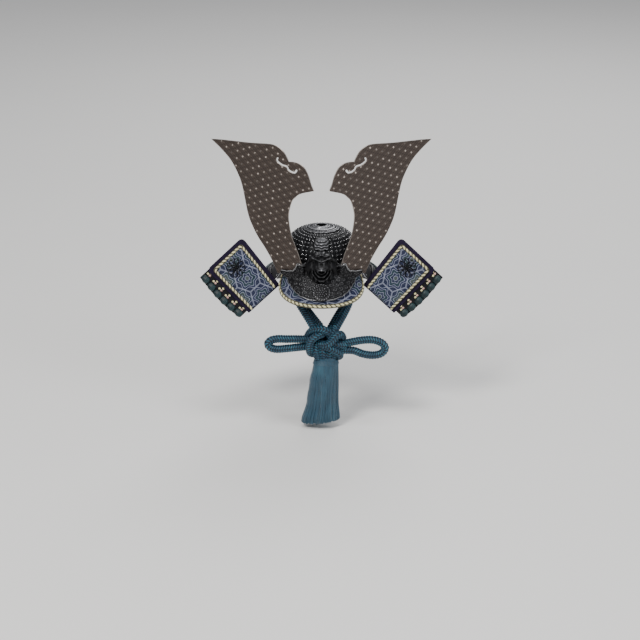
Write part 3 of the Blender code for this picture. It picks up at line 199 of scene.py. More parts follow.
# Route points of the cord in tenths of a millimetre.
STRAND_ROUTES = {"strand_left_front": ((-311, -137, -142), (-311, -160, -147), (-309, -177, -170),
    (-302, -190, -206), (-278, -230, -270), (-220, -298, -366), (-135, -375, -487), (-78, -423, -572),),
    "strand_left_back": ((-311, -121, -142), (-311, -98, -147), (-309, -81, -170), (-303, -76, -206),
    (-278, -100, -276), (-215, -177, -364), (-105, -290, -476), (-25, -350, -562),),
    "strand_right_front": ((311, -137, -142), (311, -160, -147), (310, -177, -170), (309, -190, -206),
    (301, -230, -270), (275, -298, -366), (212, -368, -475), (148, -418, -578),),
    "strand_right_back": ((311, -121, -142), (311, -98, -147), (310, -81, -170), (309, -76, -206),
    (297, -100, -276), (258, -177, -364), (168, -292, -480), (93, -363, -594),),}
LOOP_ROUTES = {"loop_left": ((-154, -430, -692), (-260, -440, -686), (-360, -447, -684), (-455, -450, -682),
    (-520, -452, -697), (-550, -453, -736), (-520, -453, -777), (-455, -452, -792), (-360, -449, -786),
    (-260, -442, -777), (-158, -432, -770),), "loop_right": ((233, -432, -738), (340, -440, -712),
    (440, -447, -694), (540, -451, -694), (625, -453, -728), (655, -453, -782), (615, -452, -838),
    (530, -450, -858), (430, -445, -846), (330, -438, -812), (221, -434, -808),),}
KNOT_HEART = Vector((0.0035, -0.0430, -0.0735))
KNOT_LAP = 4.0 * MM
KNOT_TURNS = (((-145, -385, -680), (-112, -430, -610), (-55, -470, -572), (8, -485, -566), (62, -475, -596),
    (100, -430, -655)), ((12, -450, -625), (-52, -500, -636), (-104, -510, -680), (-124, -495, -755),
    (-114, -450, -830), (-85, -400, -855)), ((-30, -450, -735), (40, -500, -730), (98, -515, -696),
    (150, -500, -640), (196, -455, -632), (222, -400, -690)), ((20, -470, -755), (100, -490, -775),
    (165, -480, -812), (190, -445, -860), (170, -400, -890)), ((95, -450, -720), (165, -470, -735),
    (245, -450, -750)), ((-65, -450, -740), (-60, -462, -800), (-40, -448, -885)),
    ((14, -440, -770), (18, -455, -830), (20, -445, -895)), ((90, -430, -780), (80, -442, -835),
    (66, -435, -895)), ((150, -430, -790), (138, -442, -835), (120, -425, -890)),
    ((135, -410, -560), (125, -450, -625), (85, -465, -680)), ((-110, -400, -732), (-10, -380, -732),
    (120, -380, -725), (200, -400, -735)), ((-60, -390, -610), (20, -370, -690), (60, -400, -800),
    (25, -420, -860)), ((130, -390, -610), (80, -370, -700), (0, -390, -770), (-30, -430, -850)),)


# ---- Shape of the helmet -------------------------------------------------------------------

def in_metres(route):
    return [tuple(part / 10000.0 for part in point) for point in route]


def ease(value):
    value = min(1.0, max(0.0, value))
    return value * value * (3.0 - 2.0 * value)


def table_value(rows, key, column):
    """Smooth reading of one column of a short table at key."""
    if key <= rows[0][0]:
        return rows[0][column]
    for low, high in zip(rows, rows[1:]):
        if key <= high[0]:
            share = (key - low[0]) / (high[0] - low[0])
            return low[column] + (high[column] - low[column]) * ease(share)
    return rows[-1][column]


def smooth_curve(points, per_span):
    """Points read from a Catmull-Rom curve through the given ones."""
    result = []
    last = len(points) - 1
    for span in range(last):
        around = [points[min(last, max(0, span + step))] for step in (-1, 0, 1, 2)]
        before, start, end, after = (Vector(point) for point in around)
        for step in range(per_span):
            share = step / per_span
            result.append(0.5 * (2.0 * start + (end - before) * share + (2.0 * before - 5.0 * start + 4.0 *
                end - after) * share ** 2 + (3.0 * start - before - 3.0 * end + after) * share ** 3))
    result.append(Vector(points[-1]))
    return result


def rim_point(angle):
    turn = radians(angle)
    return Vector((BOWL_HALF_WIDTH * sin(turn), -BOWL_HALF_DEPTH * cos(turn), 0.0))


def rim_normal(angle):
    turn = radians(angle)
    return Vector((sin(turn) / BOWL_HALF_WIDTH, -cos(turn) / BOWL_HALF_DEPTH, 0.0)).normalized()


def bowl_point(angle, climb, inset=0.0):
    """Point of the dome; climb runs from 0 at the rim to a quarter turn at the pole."""
    turn = radians(angle)
    level = cos(climb) ** (2.0 / BOWL_FULLNESS)
    height = max(0.0, sin(climb)) ** (2.0 / BOWL_FULLNESS)
    return Vector(((BOWL_HALF_WIDTH - inset) * level * sin(turn), -(BOWL_HALF_DEPTH - inset) * level *
        cos(turn), (BOWL_HEIGHT - inset) * height))


def climb_at(radius):
    return acos((radius / BOWL_HALF_WIDTH) ** (BOWL_FULLNESS / 2.0))


def bowl_height(radius):
    reach = radius / BOWL_HALF_WIDTH
    return BOWL_HEIGHT * max(0.0, 1.0 - reach ** BOWL_FULLNESS) ** (1.0 / BOWL_FULLNESS)


def bowl_front(x, z):
    level = max(0.0, 1.0 - (max(z, 0.0) / BOWL_HEIGHT) ** BOWL_FULLNESS) ** (1.0 / BOWL_FULLNESS)
    across = min(0.98, abs(x) / (BOWL_HALF_WIDTH * max(level, 0.05)))
    return BOWL_HALF_DEPTH * level * sqrt(1.0 - across ** 2)


def brow_ramp(down):
    if down <= -BROW_SOFTNESS:
        return 0.0
    if down >= BROW_SOFTNESS:
        return down
    return (down + BROW_SOFTNESS) ** 2 / (4.0 * BROW_SOFTNESS)


def brow_base(angle, down):
    slope = radians(VISOR_SLOPE)
    ramp = brow_ramp(down)
    out = rim_point(angle) + rim_normal(angle) * (ramp * cos(slope))
    out.z = -down + (1.0 - sin(slope)) * ramp
    return out


def surface_normal(surface, first, second, first_step, second_step):
    along = surface(first + first_step, second) - surface(first - first_step, second)
    across = surface(first, second + second_step) - surface(first, second - second_step)
    return along.cross(across).normalized()


def brow_normal(angle, down):
    normal = surface_normal(brow_base, angle, down, 0.5, 0.2 * MM)
    return -normal if normal.dot(rim_normal(angle)) < 0.0 else normal


def brow_point(angle, down, lift):
    return brow_base(angle, down) + brow_normal(angle, down) * lift


def visor_reach(angle):
    share = min(1.0, abs(angle) / VISOR_END_ANGLE)
    return VISOR_LENGTH * (1.0 - share ** VISOR_FULLNESS) ** (1.0 / VISOR_FULLNESS)


def guard_base(angle, share):
    from_front = (abs(angle) - FLAP_ANGLE) / GUARD_DIP_ANGLE
    dip = GUARD_DIP * (1.0 - ease(from_front)) * ease(share / 0.25)
    out = rim_point(angle) + rim_normal(angle) * (GUARD_START + GUARD_REACH * share)
    out.z = -(GUARD_TOP + GUARD_DROP * max(0.0, share) ** GUARD_FULLNESS) - dip
    return out


def guard_normal(angle, share):
    normal = surface_normal(guard_base, angle, share, 0.5, 0.01)
    return -normal if normal.z < 0.0 else normal


def guard_point(angle, share, lift):
    return guard_base(angle, share) + guard_normal(angle, share) * lift


def guard_angle(share):
    """Angle at a share of the way from the right front end of the guard round to the left."""
    angle = GUARD_FRONT_ANGLE + (360.0 - 2.0 * GUARD_FRONT_ANGLE) * share
    return angle if angle <= 180.0 else angle - 360.0


@cache
def flap_frame():
    """Corners of the right-hand flap: root inner, root outer, end inner, end outer."""
    root_inner = guard_point(FLAP_ANGLE, FLAP_ROOT_INNER, LAME_WALL)
    root_inner.z -= FLAP_DROOP
    root_outer = guard_point(FLAP_ANGLE, FLAP_ROOT_OUTER, LAME_WALL)
    ends = []
    for root, rise in ((root_inner, FLAP_RISE_INNER), (root_outer, FLAP_RISE_OUTER)):
        level = cos(radians(rise)) * FLAP_LENGTH
        sweep = radians(FLAP_SWEEP)
        ends.append(root + Vector((level * cos(sweep), level * sin(sweep), sin(radians(rise)) *
            FLAP_LENGTH)))
    return root_inner, root_outer, ends[0], ends[1]


@cache
def flap_base(along, across):
    root_inner, root_outer, end_inner, end_outer = flap_frame()
    root = root_inner.lerp(root_outer, across)
    end = end_inner.lerp(end_outer, across)
    share = FLAP_ROOT_INNER + (FLAP_ROOT_OUTER - FLAP_ROOT_INNER) * min(1.0, max(0.0, across))
    behind = guard_base(FLAP_HIDDEN_ANGLE, share) - guard_base(FLAP_ANGLE, share)
    if along < FLAP_BEND:
        step = (along + FLAP_BEND) / (2.0 * FLAP_BEND)
        bent = (root + behind).lerp(root, step)
        point = bent.lerp(root.lerp(root.lerp(end, FLAP_BEND), step), step)
    else:
        point = root.lerp(end, along)
    out = (root_outer - root_inner).cross(end_inner - root_inner).normalized()
    if out.y > 0.0:
        out.negate()
    crown = sin(pi * min(1.0, max(0.0, across))) * ease(along / 0.5)
    return point + out * (FLAP_BULGE * crown)


def flap_normal(along, across):
    normal = surface_normal(flap_base, along, across, 0.02, 0.02)
    if along > -FLAP_BEND * 0.5:
        return -normal if normal.y > 0.0 else normal
    return -normal if normal.x > 0.0 else normal


def flap_point(along, across, lift):
    return flap_base(along, across) + flap_normal(along, across) * lift


@cache
def flap_width():
    root_inner, root_outer, end_inner, end_outer = flap_frame()
    return 0.5 * ((root_outer - root_inner).length + (end_outer - end_inner).length)


def edge_share(reach):
    """Share across the flap of a point reach outside its outer edge."""
    return 1.0 + reach / flap_width()


def edge_reach(along):
    return EDGE_PLATE_WIDTH + EDGE_PLATE_BOW * sin(pi * (1.0 - along) ** 1.15)


def on_side(point, side):
    return Vector((point.x * side, point.y, point.z))


def side_name(name, side):
    return name + ("_right" if side > 0 else "_left")


# ---- Node trees ----------------------------------------------------------------------------

class Tree:
    """Adds nodes to a tree and returns the socket that each one gives."""

    def __init__(self, tree):
        self.tree = tree

    def add(self, kind, values=(), output=0, **settings):
        node = self.tree.nodes.new(kind)
        for key, value in settings.items():
            setattr(node, key, value)
        for key, value in dict(values).items():
            self.feed(node.inputs[key], value)
        return node.outputs[output]

    def feed(self, socket, value):
        if isinstance(value, bpy.types.NodeSocket):
            self.tree.links.new(value, socket)
        else:
            socket.default_value = value

    def math(self, operation, first, second=0.0, third=0.0, clamp=False):
        kind = "ShaderNodeMath"
        return self.add(kind, {0: first, 1: second, 2: third}, operation=operation, use_clamp=clamp)

    def times(self, first, second):
        return self.math("MULTIPLY", first, second)

    def plus(self, first, second):
        return self.math("ADD", first, second)

    def minus(self, first, second, clamp=False):
        return self.math("SUBTRACT", first, second, clamp=clamp)

    def over(self, first, second, clamp=False):
        return self.math("DIVIDE", first, second, clamp=clamp)

    def vector(self, operation, first, second=(0.0, 0.0, 0.0), output=0):
        return self.add("ShaderNodeVectorMath", {0: first, 1: second}, output, operation=operation)

    def scaled(self, vector, amount):
        return self.add("ShaderNodeVectorMath", {0: vector, "Scale": amount}, operation="SCALE")

    def combine(self, x, y, z):
        return self.add("ShaderNodeCombineXYZ", {0: x, 1: y, 2: z})

    def split(self, vector):
        return tuple(self.add("ShaderNodeSeparateXYZ", {0: vector}).node.outputs)

    def blend(self, share, first, second):
        """Colour between first and second."""
        first, second = ((*value, 1.0) if isinstance(value, tuple) else value for value in (first, second))
        return self.add("ShaderNodeMix", {0: share, 6: first, 7: second}, 2, data_type="RGBA")

    def near(self, value, centre, half):
        """1 where value is within half of centre, 0 elsewhere, with a short soft edge."""
        away = self.math("ABSOLUTE", self.math("SUBTRACT", value, centre))
        return self.span(away, half, half * 0.6, 0.0, 1.0)

    def span(self, value, from_low, from_high, low=0.0, high=1.0):
        return self.add("ShaderNodeMapRange", {0: value, 1: from_low, 2: from_high, 3: low, 4: high},
            interpolation_type="SMOOTHSTEP")


class ShapeTree(Tree):
    """A Geometry Nodes tree with a geometry input and output and named inputs."""

    def __init__(self, name, inputs):
        group = bpy.data.node_groups.new(name, "GeometryNodeTree")
        super().__init__(group)
        group.interface.new_socket("Geometry", in_out="OUTPUT", socket_type="NodeSocketGeometry")
        group.interface.new_socket("Geometry", in_out="INPUT", socket_type="NodeSocketGeometry")
        for label, kind in (*inputs, ("Finish", "Material")):
            group.interface.new_socket(label, in_out="INPUT", socket_type="NodeSocket" + kind)
        self.given = group.nodes.new("NodeGroupInput").outputs
        self.end = group.nodes.new("NodeGroupOutput").inputs[0]

    def node(self, kind, values=(), output=0, **settings):
        return self.add("GeometryNode" + kind, values, output, **settings)

    def done(self, shape, finish="Finish"):
        """Makes the result real, smooth and of its finish."""
        real = self.node("RealizeInstances", {"Geometry": shape})
        smooth = self.node("SetShadeSmooth", {"Geometry": real})
        self.feed(self.end, self.node("SetMaterial", {"Geometry": smooth, "Material": self.given[finish]}))
        return self.tree


def grow(name, source, tree, values):
    """Runs a tree on the source object and keeps the result as one plain mesh object."""
    modifier = source.modifiers.new("shape", "NODES")
    modifier.node_group = tree
    for item in tree.interface.items_tree:
        if item.item_type == "SOCKET" and item.in_out == "INPUT" and item.name in values:
            modifier[item.identifier] = values[item.name]
    bpy.context.view_layer.update()
    depsgraph = bpy.context.evaluated_depsgraph_get()
    mesh = bpy.data.meshes.new_from_object(source.evaluated_get(depsgraph), depsgraph=depsgraph)
    source.modifiers.clear()
    drop(source)
    if not mesh.polygons:
        raise RuntimeError(name + " came out empty")
    mesh.name = name
    return link_object(name, mesh)


def drop(piece):
    bpy.data.objects.remove(piece)


def link_object(name, data):
    piece = bpy.data.objects.new(name, data)
    bpy.context.scene.collection.objects.link(piece)
    return piece


def line_object(lines, cyclic=False):
    """Curve object with one poly spline for each list of points."""
    curve = bpy.data.curves.new("guide", "CURVE")
    curve.dimensions = "3D"
    for points in lines:
        spline = curve.splines.new("POLY")
        spline.points.add(len(points) - 1)
        for spot, point in zip(spline.points, points):
            spot.co = (*point, 1.0)
        spline.use_cyclic_u = cyclic
    return link_object("guide", curve)


def marks_object(marks):
    """Points for place_tree; each mark is place, outward direction, long direction, size."""
    mesh = bpy.data.meshes.new("marks")
    mesh.from_pydata([mark[0] for mark in marks], [], [])
    for label, index in (("out", 1), ("along", 2)):
        layer = mesh.attributes.new(label, "FLOAT_VECTOR", "POINT")
        for spot, mark in zip(layer.data, marks):
            spot.vector = mark[index]
    layer = mesh.attributes.new("size", "FLOAT", "POINT")
    for spot, mark in zip(layer.data, marks):
        spot.value = mark[3]
    return link_object("marks", mesh)


@cache
def place_tree():
    """Sets a copy of a small piece on every marked point."""
    tree = ShapeTree("place_on_marks", (("Piece", "Object"), ("Width", "Float"), ("Length", "Float"),
        ("Height", "Float")))
    given = tree.given
    named = "InputNamedAttribute"
    out = tree.node(named, {"Name": "out"}, data_type="FLOAT_VECTOR")
    along = tree.node(named, {"Name": "along"}, data_type="FLOAT_VECTOR")
    size = tree.node(named, {"Name": "size"}, data_type="FLOAT")
    turn = tree.add("FunctionNodeAxesToRotation", {0: out, 1: along}, primary_axis="Z", secondary_axis="Y")
    scale = tree.scaled(tree.combine(given["Width"], given["Length"], given["Height"]), size)
    piece = tree.node("ObjectInfo", {"Object": given["Piece"]}, "Geometry")
    placed = tree.node("InstanceOnPoints", {"Points": given["Geometry"], "Instance": piece,
        "Rotation": turn, "Scale": scale})
    return tree.done(placed)


def place_on(name, marks, small, width, length, height, finish):
    """One mesh of small pieces set on marks; the small piece is one unit in each direction."""
    return grow(name, marks_object(marks), place_tree(), {"Piece": small, "Width": width, "Length": length,
        "Height": height, "Finish": finish})


@cache
def rope_tree():
    """One strand of a twisted rope that winds round its guide line."""
    tree = ShapeTree("rope_strand", (("Winding radius", "Float"), ("Thread radius", "Float"),
        ("Pitch", "Float"), ("Start turn", "Float"), ("Step", "Float")))
    given = tree.given
    line = tree.node("ResampleCurve", {"Curve": given["Geometry"], "Length": given["Step"]}, mode="LENGTH")
    length = tree.node("SplineParameter", output="Length")
    normal = tree.node("InputNormal")
    tangent = tree.node("InputTangent")
    other = tree.vector("CROSS_PRODUCT", tangent, normal)
    turn = tree.plus(tree.times(tree.over(length, given["Pitch"]), TURN), given["Start turn"])
    first = tree.scaled(normal, tree.times(tree.math("COSINE", turn), given["Winding radius"]))
    second = tree.scaled(other, tree.times(tree.math("SINE", turn), given["Winding radius"]))
    wound = tree.node("SetPosition", {"Geometry": line, "Offset": tree.vector("ADD", first, second)})
    profile = tree.node("CurvePrimitiveCircle", {"Resolution": 8, "Radius": given["Thread radius"]})
    return tree.done(tree.node("CurveToMesh", {"Curve": wound, "Profile Curve": profile,
        "Fill Caps": True}))


def rope(name, lines, radius, pitch, finishes, cyclic=False, shares=(0.74, 0.42), step=0.45 * MM):
    """Twisted rope of as many strands as there are finishes, joined into one piece."""
    strands = []
    for number, finish in enumerate(finishes):
        thick = radius * shares[number % len(shares)]
        strands.append(grow("strand", line_object(lines, cyclic), rope_tree(), {"Winding radius": radius -
            thick, "Thread radius": thick, "Pitch": pitch, "Start turn": TURN * number / len(finishes),
            "Step": step, "Finish": finish}))
    return join(name, strands)


def threads(name, lines, radius, finish, sides=8, cyclic=False):
    """Plain thin threads along lines, as one piece."""
    return grow(name, line_object(lines, cyclic), thread_tree(), {"Thread radius": radius, "Sides": sides,
        "Finish": finish})


def join(name, pieces):
    """One object from several, each of which keeps its finish."""
    mesh = bpy.data.meshes.new(name)
    work = bmesh.new()
    finishes = []
    for piece in pieces:
        before = len(work.faces)
        first = len(finishes)
        finishes += list(piece.data.materials)
        work.from_mesh(piece.data)
        work.faces.ensure_lookup_table()
        for index in range(before, len(work.faces)):
            work.faces[index].material_index += first
    work.to_mesh(mesh)
    work.free()
    unique = []
    for finish in finishes:
        if finish not in unique:
            unique.append(finish)
    for finish in unique:
        mesh.materials.append(finish)
    order = [unique.index(finish) for finish in finishes]
    for face in mesh.polygons:
        face.material_index = order[face.material_index]
        face.use_smooth = True
    for piece in pieces:
        drop(piece)
    return link_object(name, mesh)


@cache
def cord_tree():
    """Round silk cord whose surface is a herringbone braid."""
    tree = ShapeTree("braided_cord", (("Cord radius", "Float"), ("Stitch length", "Float"),
        ("Relief", "Float"), ("Columns", "Float"), ("Step", "Float")))
    given = tree.given
    line = tree.node("ResampleCurve", {"Curve": given["Geometry"], "Length": given["Step"]}, mode="LENGTH")
    keep = tree.tree.nodes.new("GeometryNodeCaptureAttribute")
    keep.capture_items.new("FLOAT", "Run")
    tree.feed(keep.inputs[0], line)
    tree.feed(keep.inputs[1], tree.node("SplineParameter", output="Length"))
    ring = tree.node("CurvePrimitiveCircle", {"Resolution": 40, "Radius": given["Cord radius"]})
    around = tree.tree.nodes.new("GeometryNodeCaptureAttribute")
    around.capture_items.new("FLOAT", "Around")
    tree.feed(around.inputs[0], ring)
    tree.feed(around.inputs[1], tree.over(tree.node("InputIndex"), 40.0))
    body = tree.node("CurveToMesh", {"Curve": keep.outputs[0], "Profile Curve": around.outputs[0],
        "Fill Caps": True})
    column = tree.times(around.outputs[1], given["Columns"])
    zigzag = tree.math("PINGPONG", column, 1.0)
    phase = tree.plus(tree.over(keep.outputs[1], given["Stitch length"]), tree.times(zigzag, 0.85))
    stitch = tree.math("POWER", tree.math("ABSOLUTE", tree.math("SINE", tree.times(phase, pi))), 0.75)
    edge = tree.math("ABSOLUTE", tree.minus(tree.times(tree.math("FRACT", column), 2.0), 1.0))
    groove = tree.minus(1.0, tree.times(tree.math("POWER", edge, 5.0), 0.55))
    height = tree.times(stitch, groove)
    noted = tree.node("StoreNamedAttribute", {"Geometry": body, "Name": "relief", "Value": height},
        data_type="FLOAT", domain="POINT")
    offset = tree.scaled(tree.node("InputNormal"), tree.times(tree.minus(height, 0.40), given["Relief"]))
    return tree.done(tree.node("SetPosition", {"Geometry": noted, "Offset": offset}))


@cache
def dome_tree():
    """Ribbed dome with its inner wall, closed at the rim and at the crown hole."""
    tree = ShapeTree("ribbed_dome", (("Half width", "Float"), ("Half depth", "Float"), ("Height", "Float"),
        ("Fullness", "Float"), ("Wall", "Float"), ("Rib height", "Float"), ("Plates", "Float"),
        ("Opening climb", "Float"), ("Crown climb", "Float"), ("Columns", "Int"), ("Rows", "Int")))
    given = tree.given
    grid = tree.node("MeshGrid", {"Size X": 1.0, "Size Y": 1.0, "Vertices X": given["Columns"],
        "Vertices Y": given["Rows"]})
    x, y, _ = tree.split(tree.node("InputPosition"))
    turn = tree.times(tree.plus(x, 0.5), TURN)
    run = tree.times(tree.plus(y, 0.5), 2.1)
    up = tree.minus(1.0, tree.math("ABSOLUTE", tree.minus(1.0, run)), clamp=True)
    climb = tree.times(up, given["Opening climb"])
    inner = tree.over(tree.minus(run, 1.0), 0.05, clamp=True)
    back = tree.over(tree.minus(run, 2.0), 0.1, clamp=True)
    inset = tree.times(tree.minus(inner, back), given["Wall"])
    ridge = tree.math("POWER", tree.math("ABSOLUTE", tree.math("SINE", tree.times(
        tree.times(given["Plates"], turn), 0.5))), 14.0)
    fade = tree.minus(1.0, tree.math("POWER", tree.over(climb, given["Crown climb"]), 3.0), clamp=True)
    outside = tree.minus(1.0, inner, clamp=True)
    rib = tree.times(tree.times(ridge, fade), tree.times(given["Rib height"], outside))
    less = tree.minus(inset, rib)
    power = tree.over(2.0, given["Fullness"])
    level = tree.math("POWER", tree.math("COSINE", climb), power)
    high = tree.math("POWER", tree.math("SINE", climb), power)
    place = tree.combine(tree.times(tree.times(tree.minus(given["Half width"], less), level),
        tree.math("SINE", turn)), tree.times(tree.times(tree.minus(less, given["Half depth"]), level),
        tree.math("COSINE", turn)), tree.times(tree.minus(given["Height"], less), high))
    bent = tree.node("SetPosition", {"Geometry": grid, "Position": place})
    noted = tree.node("StoreNamedAttribute", {"Geometry": bent, "Name": "relief", "Value": ridge},
        data_type="FLOAT", domain="POINT")
    return tree.done(tree.node("MergeByDistance", {"Geometry": noted, "Distance": 0.00001}))


@cache
def lattice_tree():
    """Copies of a small piece on a slanted lattice, wherever it falls well inside a flat plate."""
    tree = ShapeTree("dots_on_plate", (("Piece", "Object"), ("Lattice origin", "Vector"),
        ("First step", "Vector"), ("Second step", "Vector"), ("Facing", "Vector"), ("Upright", "Vector"),
        ("Count", "Int"), ("Margin", "Float"), ("Size", "Float")))
    given = tree.given
    grid = tree.node("MeshGrid", {"Size X": 1.0, "Size Y": 1.0, "Vertices X": given["Count"],
        "Vertices Y": given["Count"]})
    x, y, _ = tree.split(tree.node("InputPosition"))
    steps = tree.minus(given["Count"], 1.0)
    first = tree.scaled(given["First step"], tree.times(x, steps))
    second = tree.scaled(given["Second step"], tree.times(y, steps))
    spot = tree.vector("ADD", given["Lattice origin"], tree.vector("ADD", first, second))
    spread = tree.node("SetPosition", {"Geometry": grid, "Position": spot})
    here = tree.node("InputPosition")
    level = tree.vector("CROSS_PRODUCT", given["Facing"], given["Upright"])
    back = tree.scaled(given["Facing"], -1.0)
    inside = None
    for right, up in ((1, 0), (-1, 0), (0, 1), (0, -1)):
        shift = tree.vector("ADD", tree.scaled(level, tree.times(given["Margin"], float(right))),
            tree.scaled(given["Upright"], tree.times(given["Margin"], float(up))))
        hit = tree.node("Raycast", {"Target Geometry": given["Geometry"], "Source Position":
            tree.vector("ADD", here, shift), "Ray Direction": back, "Ray Length": 0.02}, "Is Hit")
        if inside is None:
            inside = hit
        else:
            inside = tree.add("FunctionNodeBooleanMath", {0: inside, 1: hit}, operation="AND")
    turn = tree.add("FunctionNodeAxesToRotation", {0: given["Facing"], 1: given["Upright"]},
        primary_axis="Z", secondary_axis="Y")
    piece = tree.node("ObjectInfo", {"Object": given["Piece"]}, "Geometry")
    placed = tree.node("InstanceOnPoints", {"Points": tree.node("SeparateGeometry",
        {"Geometry": spread, "Selection": inside}, domain="POINT"), "Instance": piece, "Rotation": turn,
        "Scale": tree.combine(given["Size"], given["Size"], given["Size"])})
    return tree.done(placed)


@cache
def thread_tree():
    """Thin round threads along guide lines."""
    tree = ShapeTree("silk_threads", (("Thread radius", "Float"), ("Sides", "Int")))
    profile = tree.node("CurvePrimitiveCircle", {"Resolution": tree.given["Sides"],
        "Radius": tree.given["Thread radius"]})
    return tree.done(tree.node("CurveToMesh", {"Curve": tree.given["Geometry"], "Profile Curve": profile,
        "Fill Caps": True}))


# ---- Finishes ------------------------------------------------------------------------------

def chosen(key):
    """Colour set in the panel."""
    return tuple(getattr(bpy.context.scene.kabuto_colours, key))


class FinishTree(Tree):
    """Node tree of a new material, with even values set on its shader."""

    def __init__(self, name, roughness, metallic=0.0, sockets=()):
        self.material = bpy.data.materials.new(name)
        self.material.use_nodes = True
        super().__init__(self.material.node_tree)
        self.shader = self.tree.nodes["Principled BSDF"]
        even = {"Roughness": roughness, "Metallic": metallic, **dict(sockets)}
        for key, value in even.items():
            self.shader.inputs[key].default_value = value

    def point(self):
        return self.add("ShaderNodeTexCoord", output="Object")

    def noise(self, point, scale, detail=3.0):
        return self.add("ShaderNodeTexNoise", {"Vector": point, "Scale": scale, "Detail": detail,
            "Roughness": 0.55})

    def relief(self):
        return self.add("ShaderNodeAttribute", output="Fac", attribute_name="relief")

    def paint(self, colour):
        self.feed(self.shader.inputs["Base Color"], colour)

    def tint(self, share, colour, low, high):
        """Paints between a darker and a brighter share of one colour."""
        self.paint(self.blend(share, darker(colour, low), darker(colour, high)))

    def gloss(self, value):
        self.feed(self.shader.inputs["Roughness"], value)

    def bump(self, height, strength, distance):
        self.feed(self.shader.inputs["Normal"], self.add("ShaderNodeBump", {"Strength": strength,
            "Distance": distance, "Height": height}))


def darker(colour, share):
    return tuple(channel * share for channel in colour)


@cache
def iron_finish():
    """Black iron of the bowl, worn a little brighter on its ribs."""
    colour = chosen("iron")
    tree = FinishTree("black_iron", 0.36, 0.2, {"Specular IOR Level": 0.08})
    point = tree.point()
    cloud = tree.noise(point, 90.0, 4.0)
    worn = tree.span(tree.plus(tree.relief(), tree.times(cloud, 0.4)), 0.75, 1.3, 0.0, 0.55)
    base = tree.blend(cloud, darker(colour, 0.7), darker(colour, 1.5))
    tree.paint(tree.blend(worn, base, darker(colour, 3.0)))
    tree.gloss(tree.span(tree.noise(point, 260.0), 0.2, 0.8, 0.26, 0.5))
    tree.bump(tree.noise(point, 900.0, 2.0), 0.25, 0.00015)
    return tree.material


# Columns: painted shade of the hollows, painted highlight of the heights, roughness.
CASTS = {"black_cast": ((0.004, 0.004, 0.005), (0.12, 0.12, 0.125), 0.34), "face_cast":
    ((0.004, 0.004, 0.005), (0.19, 0.19, 0.20), 0.34), "grey_cast": ((0.006, 0.006, 0.007),
    (0.27, 0.27, 0.285), 0.36),}
# Columns: colour, its darker and brighter share, scale and detail of the clouds, roughness,
# metallic, other sockets, how the clouds set the roughness, and the grain of the bump.
THREAD_LOOK = (0.55, 1.25, 300.0, 3.0, 0.55, 0.0, {"Sheen Weight": 0.3, "Specular IOR Level": 0.6}, (),
    (2400.0, 2.0, 0.5, 0.00015))
# In horn_edge the cut edges of the horns are painted bright as highlight.
CLOUDED = {"stud_heads": ("stud", 0.6, 1.3, 400.0, 2.0, 0.14, 0.9, {}, (0.25, 0.75, 0.06, 0.16), ()),
    "horn_edge": ("horn_dot", 0.45, 1.2, 120.0, 3.0, 0.32, 0.8, {}, (), ()), "black_lacquer":
    ("lacquer", 0.7, 1.6, 70.0, 3.0, 0.2, 0.0, {"Coat Weight": 0.1, "Specular IOR Level": 0.3},
    (0.3, 0.7, 0.12, 0.26), (45.0, 1.0, 0.12, 0.0004)), "cream_thread": ("cream", *THREAD_LOOK),
    "olive_thread": ("olive", *THREAD_LOOK), "pink_thread": ("pink", *THREAD_LOOK),}


@cache
def clouded(name):
    """Finish whose colour drifts between a darker and a brighter share."""
    key, low, high, scale, detail, roughness, metallic, sockets, gloss, grain = CLOUDED[name]
    tree = FinishTree(name, roughness, metallic, sockets)
    point = tree.point()
    cloud = tree.noise(point, scale, detail)
    tree.tint(cloud, chosen(key), low, high)
    if gloss:
        tree.gloss(tree.span(cloud, *gloss))
    if grain:
        tree.bump(tree.noise(point, *grain[:2]), *grain[2:])
    return tree.material


@cache
def cast_finish(name):
    """Cast metal, painted dark in its hollows as shade and pale on its heights as highlight."""
    low, high, roughness = CASTS[name]
    tree = FinishTree(name, roughness, 0.7)
    point = tree.point()
    cloud = tree.noise(point, 180.0, 4.0)
    height = tree.plus(tree.relief(), tree.times(tree.minus(cloud, 0.5), 0.35))
    share = tree.span(height, 0.15, 1.05)
    # Painted shade in the hollows and painted highlight on the heights, set by the relief share.
    tree.paint(tree.blend(share, low, high))
    tree.gloss(tree.span(height, 0.1, 1.0, roughness + 0.18, roughness - 0.06))
    tree.bump(tree.noise(point, 1100.0, 3.0), 0.3, 0.00012)
    return tree.material


def horn_lattice():
    """Steps of the horn's dots in its plane: level and upright, in metres."""
    return Vector((7.35, -2.75)) * MM, Vector((-6.2, -5.2)) * MM


@cache
def horn_finish():
    """Grey-brown plate with a pressed net of slanting lines."""
    colour = chosen("horn")
    tree = FinishTree("horn_plate", 0.42, 0.62)
    x, z, _ = tree.split(tree.add("ShaderNodeUVMap", uv_map="plane"))
    first, second = horn_lattice()
    area = first.x * second.y - first.y * second.x
    scale = 0.01 / area
    along = tree.minus(tree.times(x, second.y * scale), tree.times(z, second.x * scale))
    across = tree.minus(tree.times(z, first.x * scale), tree.times(x, first.y * scale))
    ridges = []
    for value in (along, across, tree.plus(along, across)):
        wave = tree.math("PINGPONG", tree.plus(value, 20.0), 0.5)
        ridges.append(tree.span(wave, 0.30, 0.48))
    net = tree.math("MAXIMUM", ridges[0], tree.math("MAXIMUM", tree.times(ridges[1], 0.75),
        tree.times(ridges[2], 0.5)))
    fine = tree.math("PINGPONG", tree.times(tree.plus(along, 20.0), 3.0), 0.5)
    cloud = tree.noise(tree.point(), 60.0, 5.0)
    base = tree.blend(cloud, darker(colour, 0.72), darker(colour, 1.25))
    lit = tree.blend(tree.times(net, 0.9), base, darker(colour, 0.22))
    hatched = tree.blend(tree.times(fine, 0.95), lit, darker(colour, 2.2))
    tree.paint(hatched)
    height = tree.minus(tree.times(fine, 0.35), net)
    tree.bump(height, 0.6, 0.0003)
    return tree.material


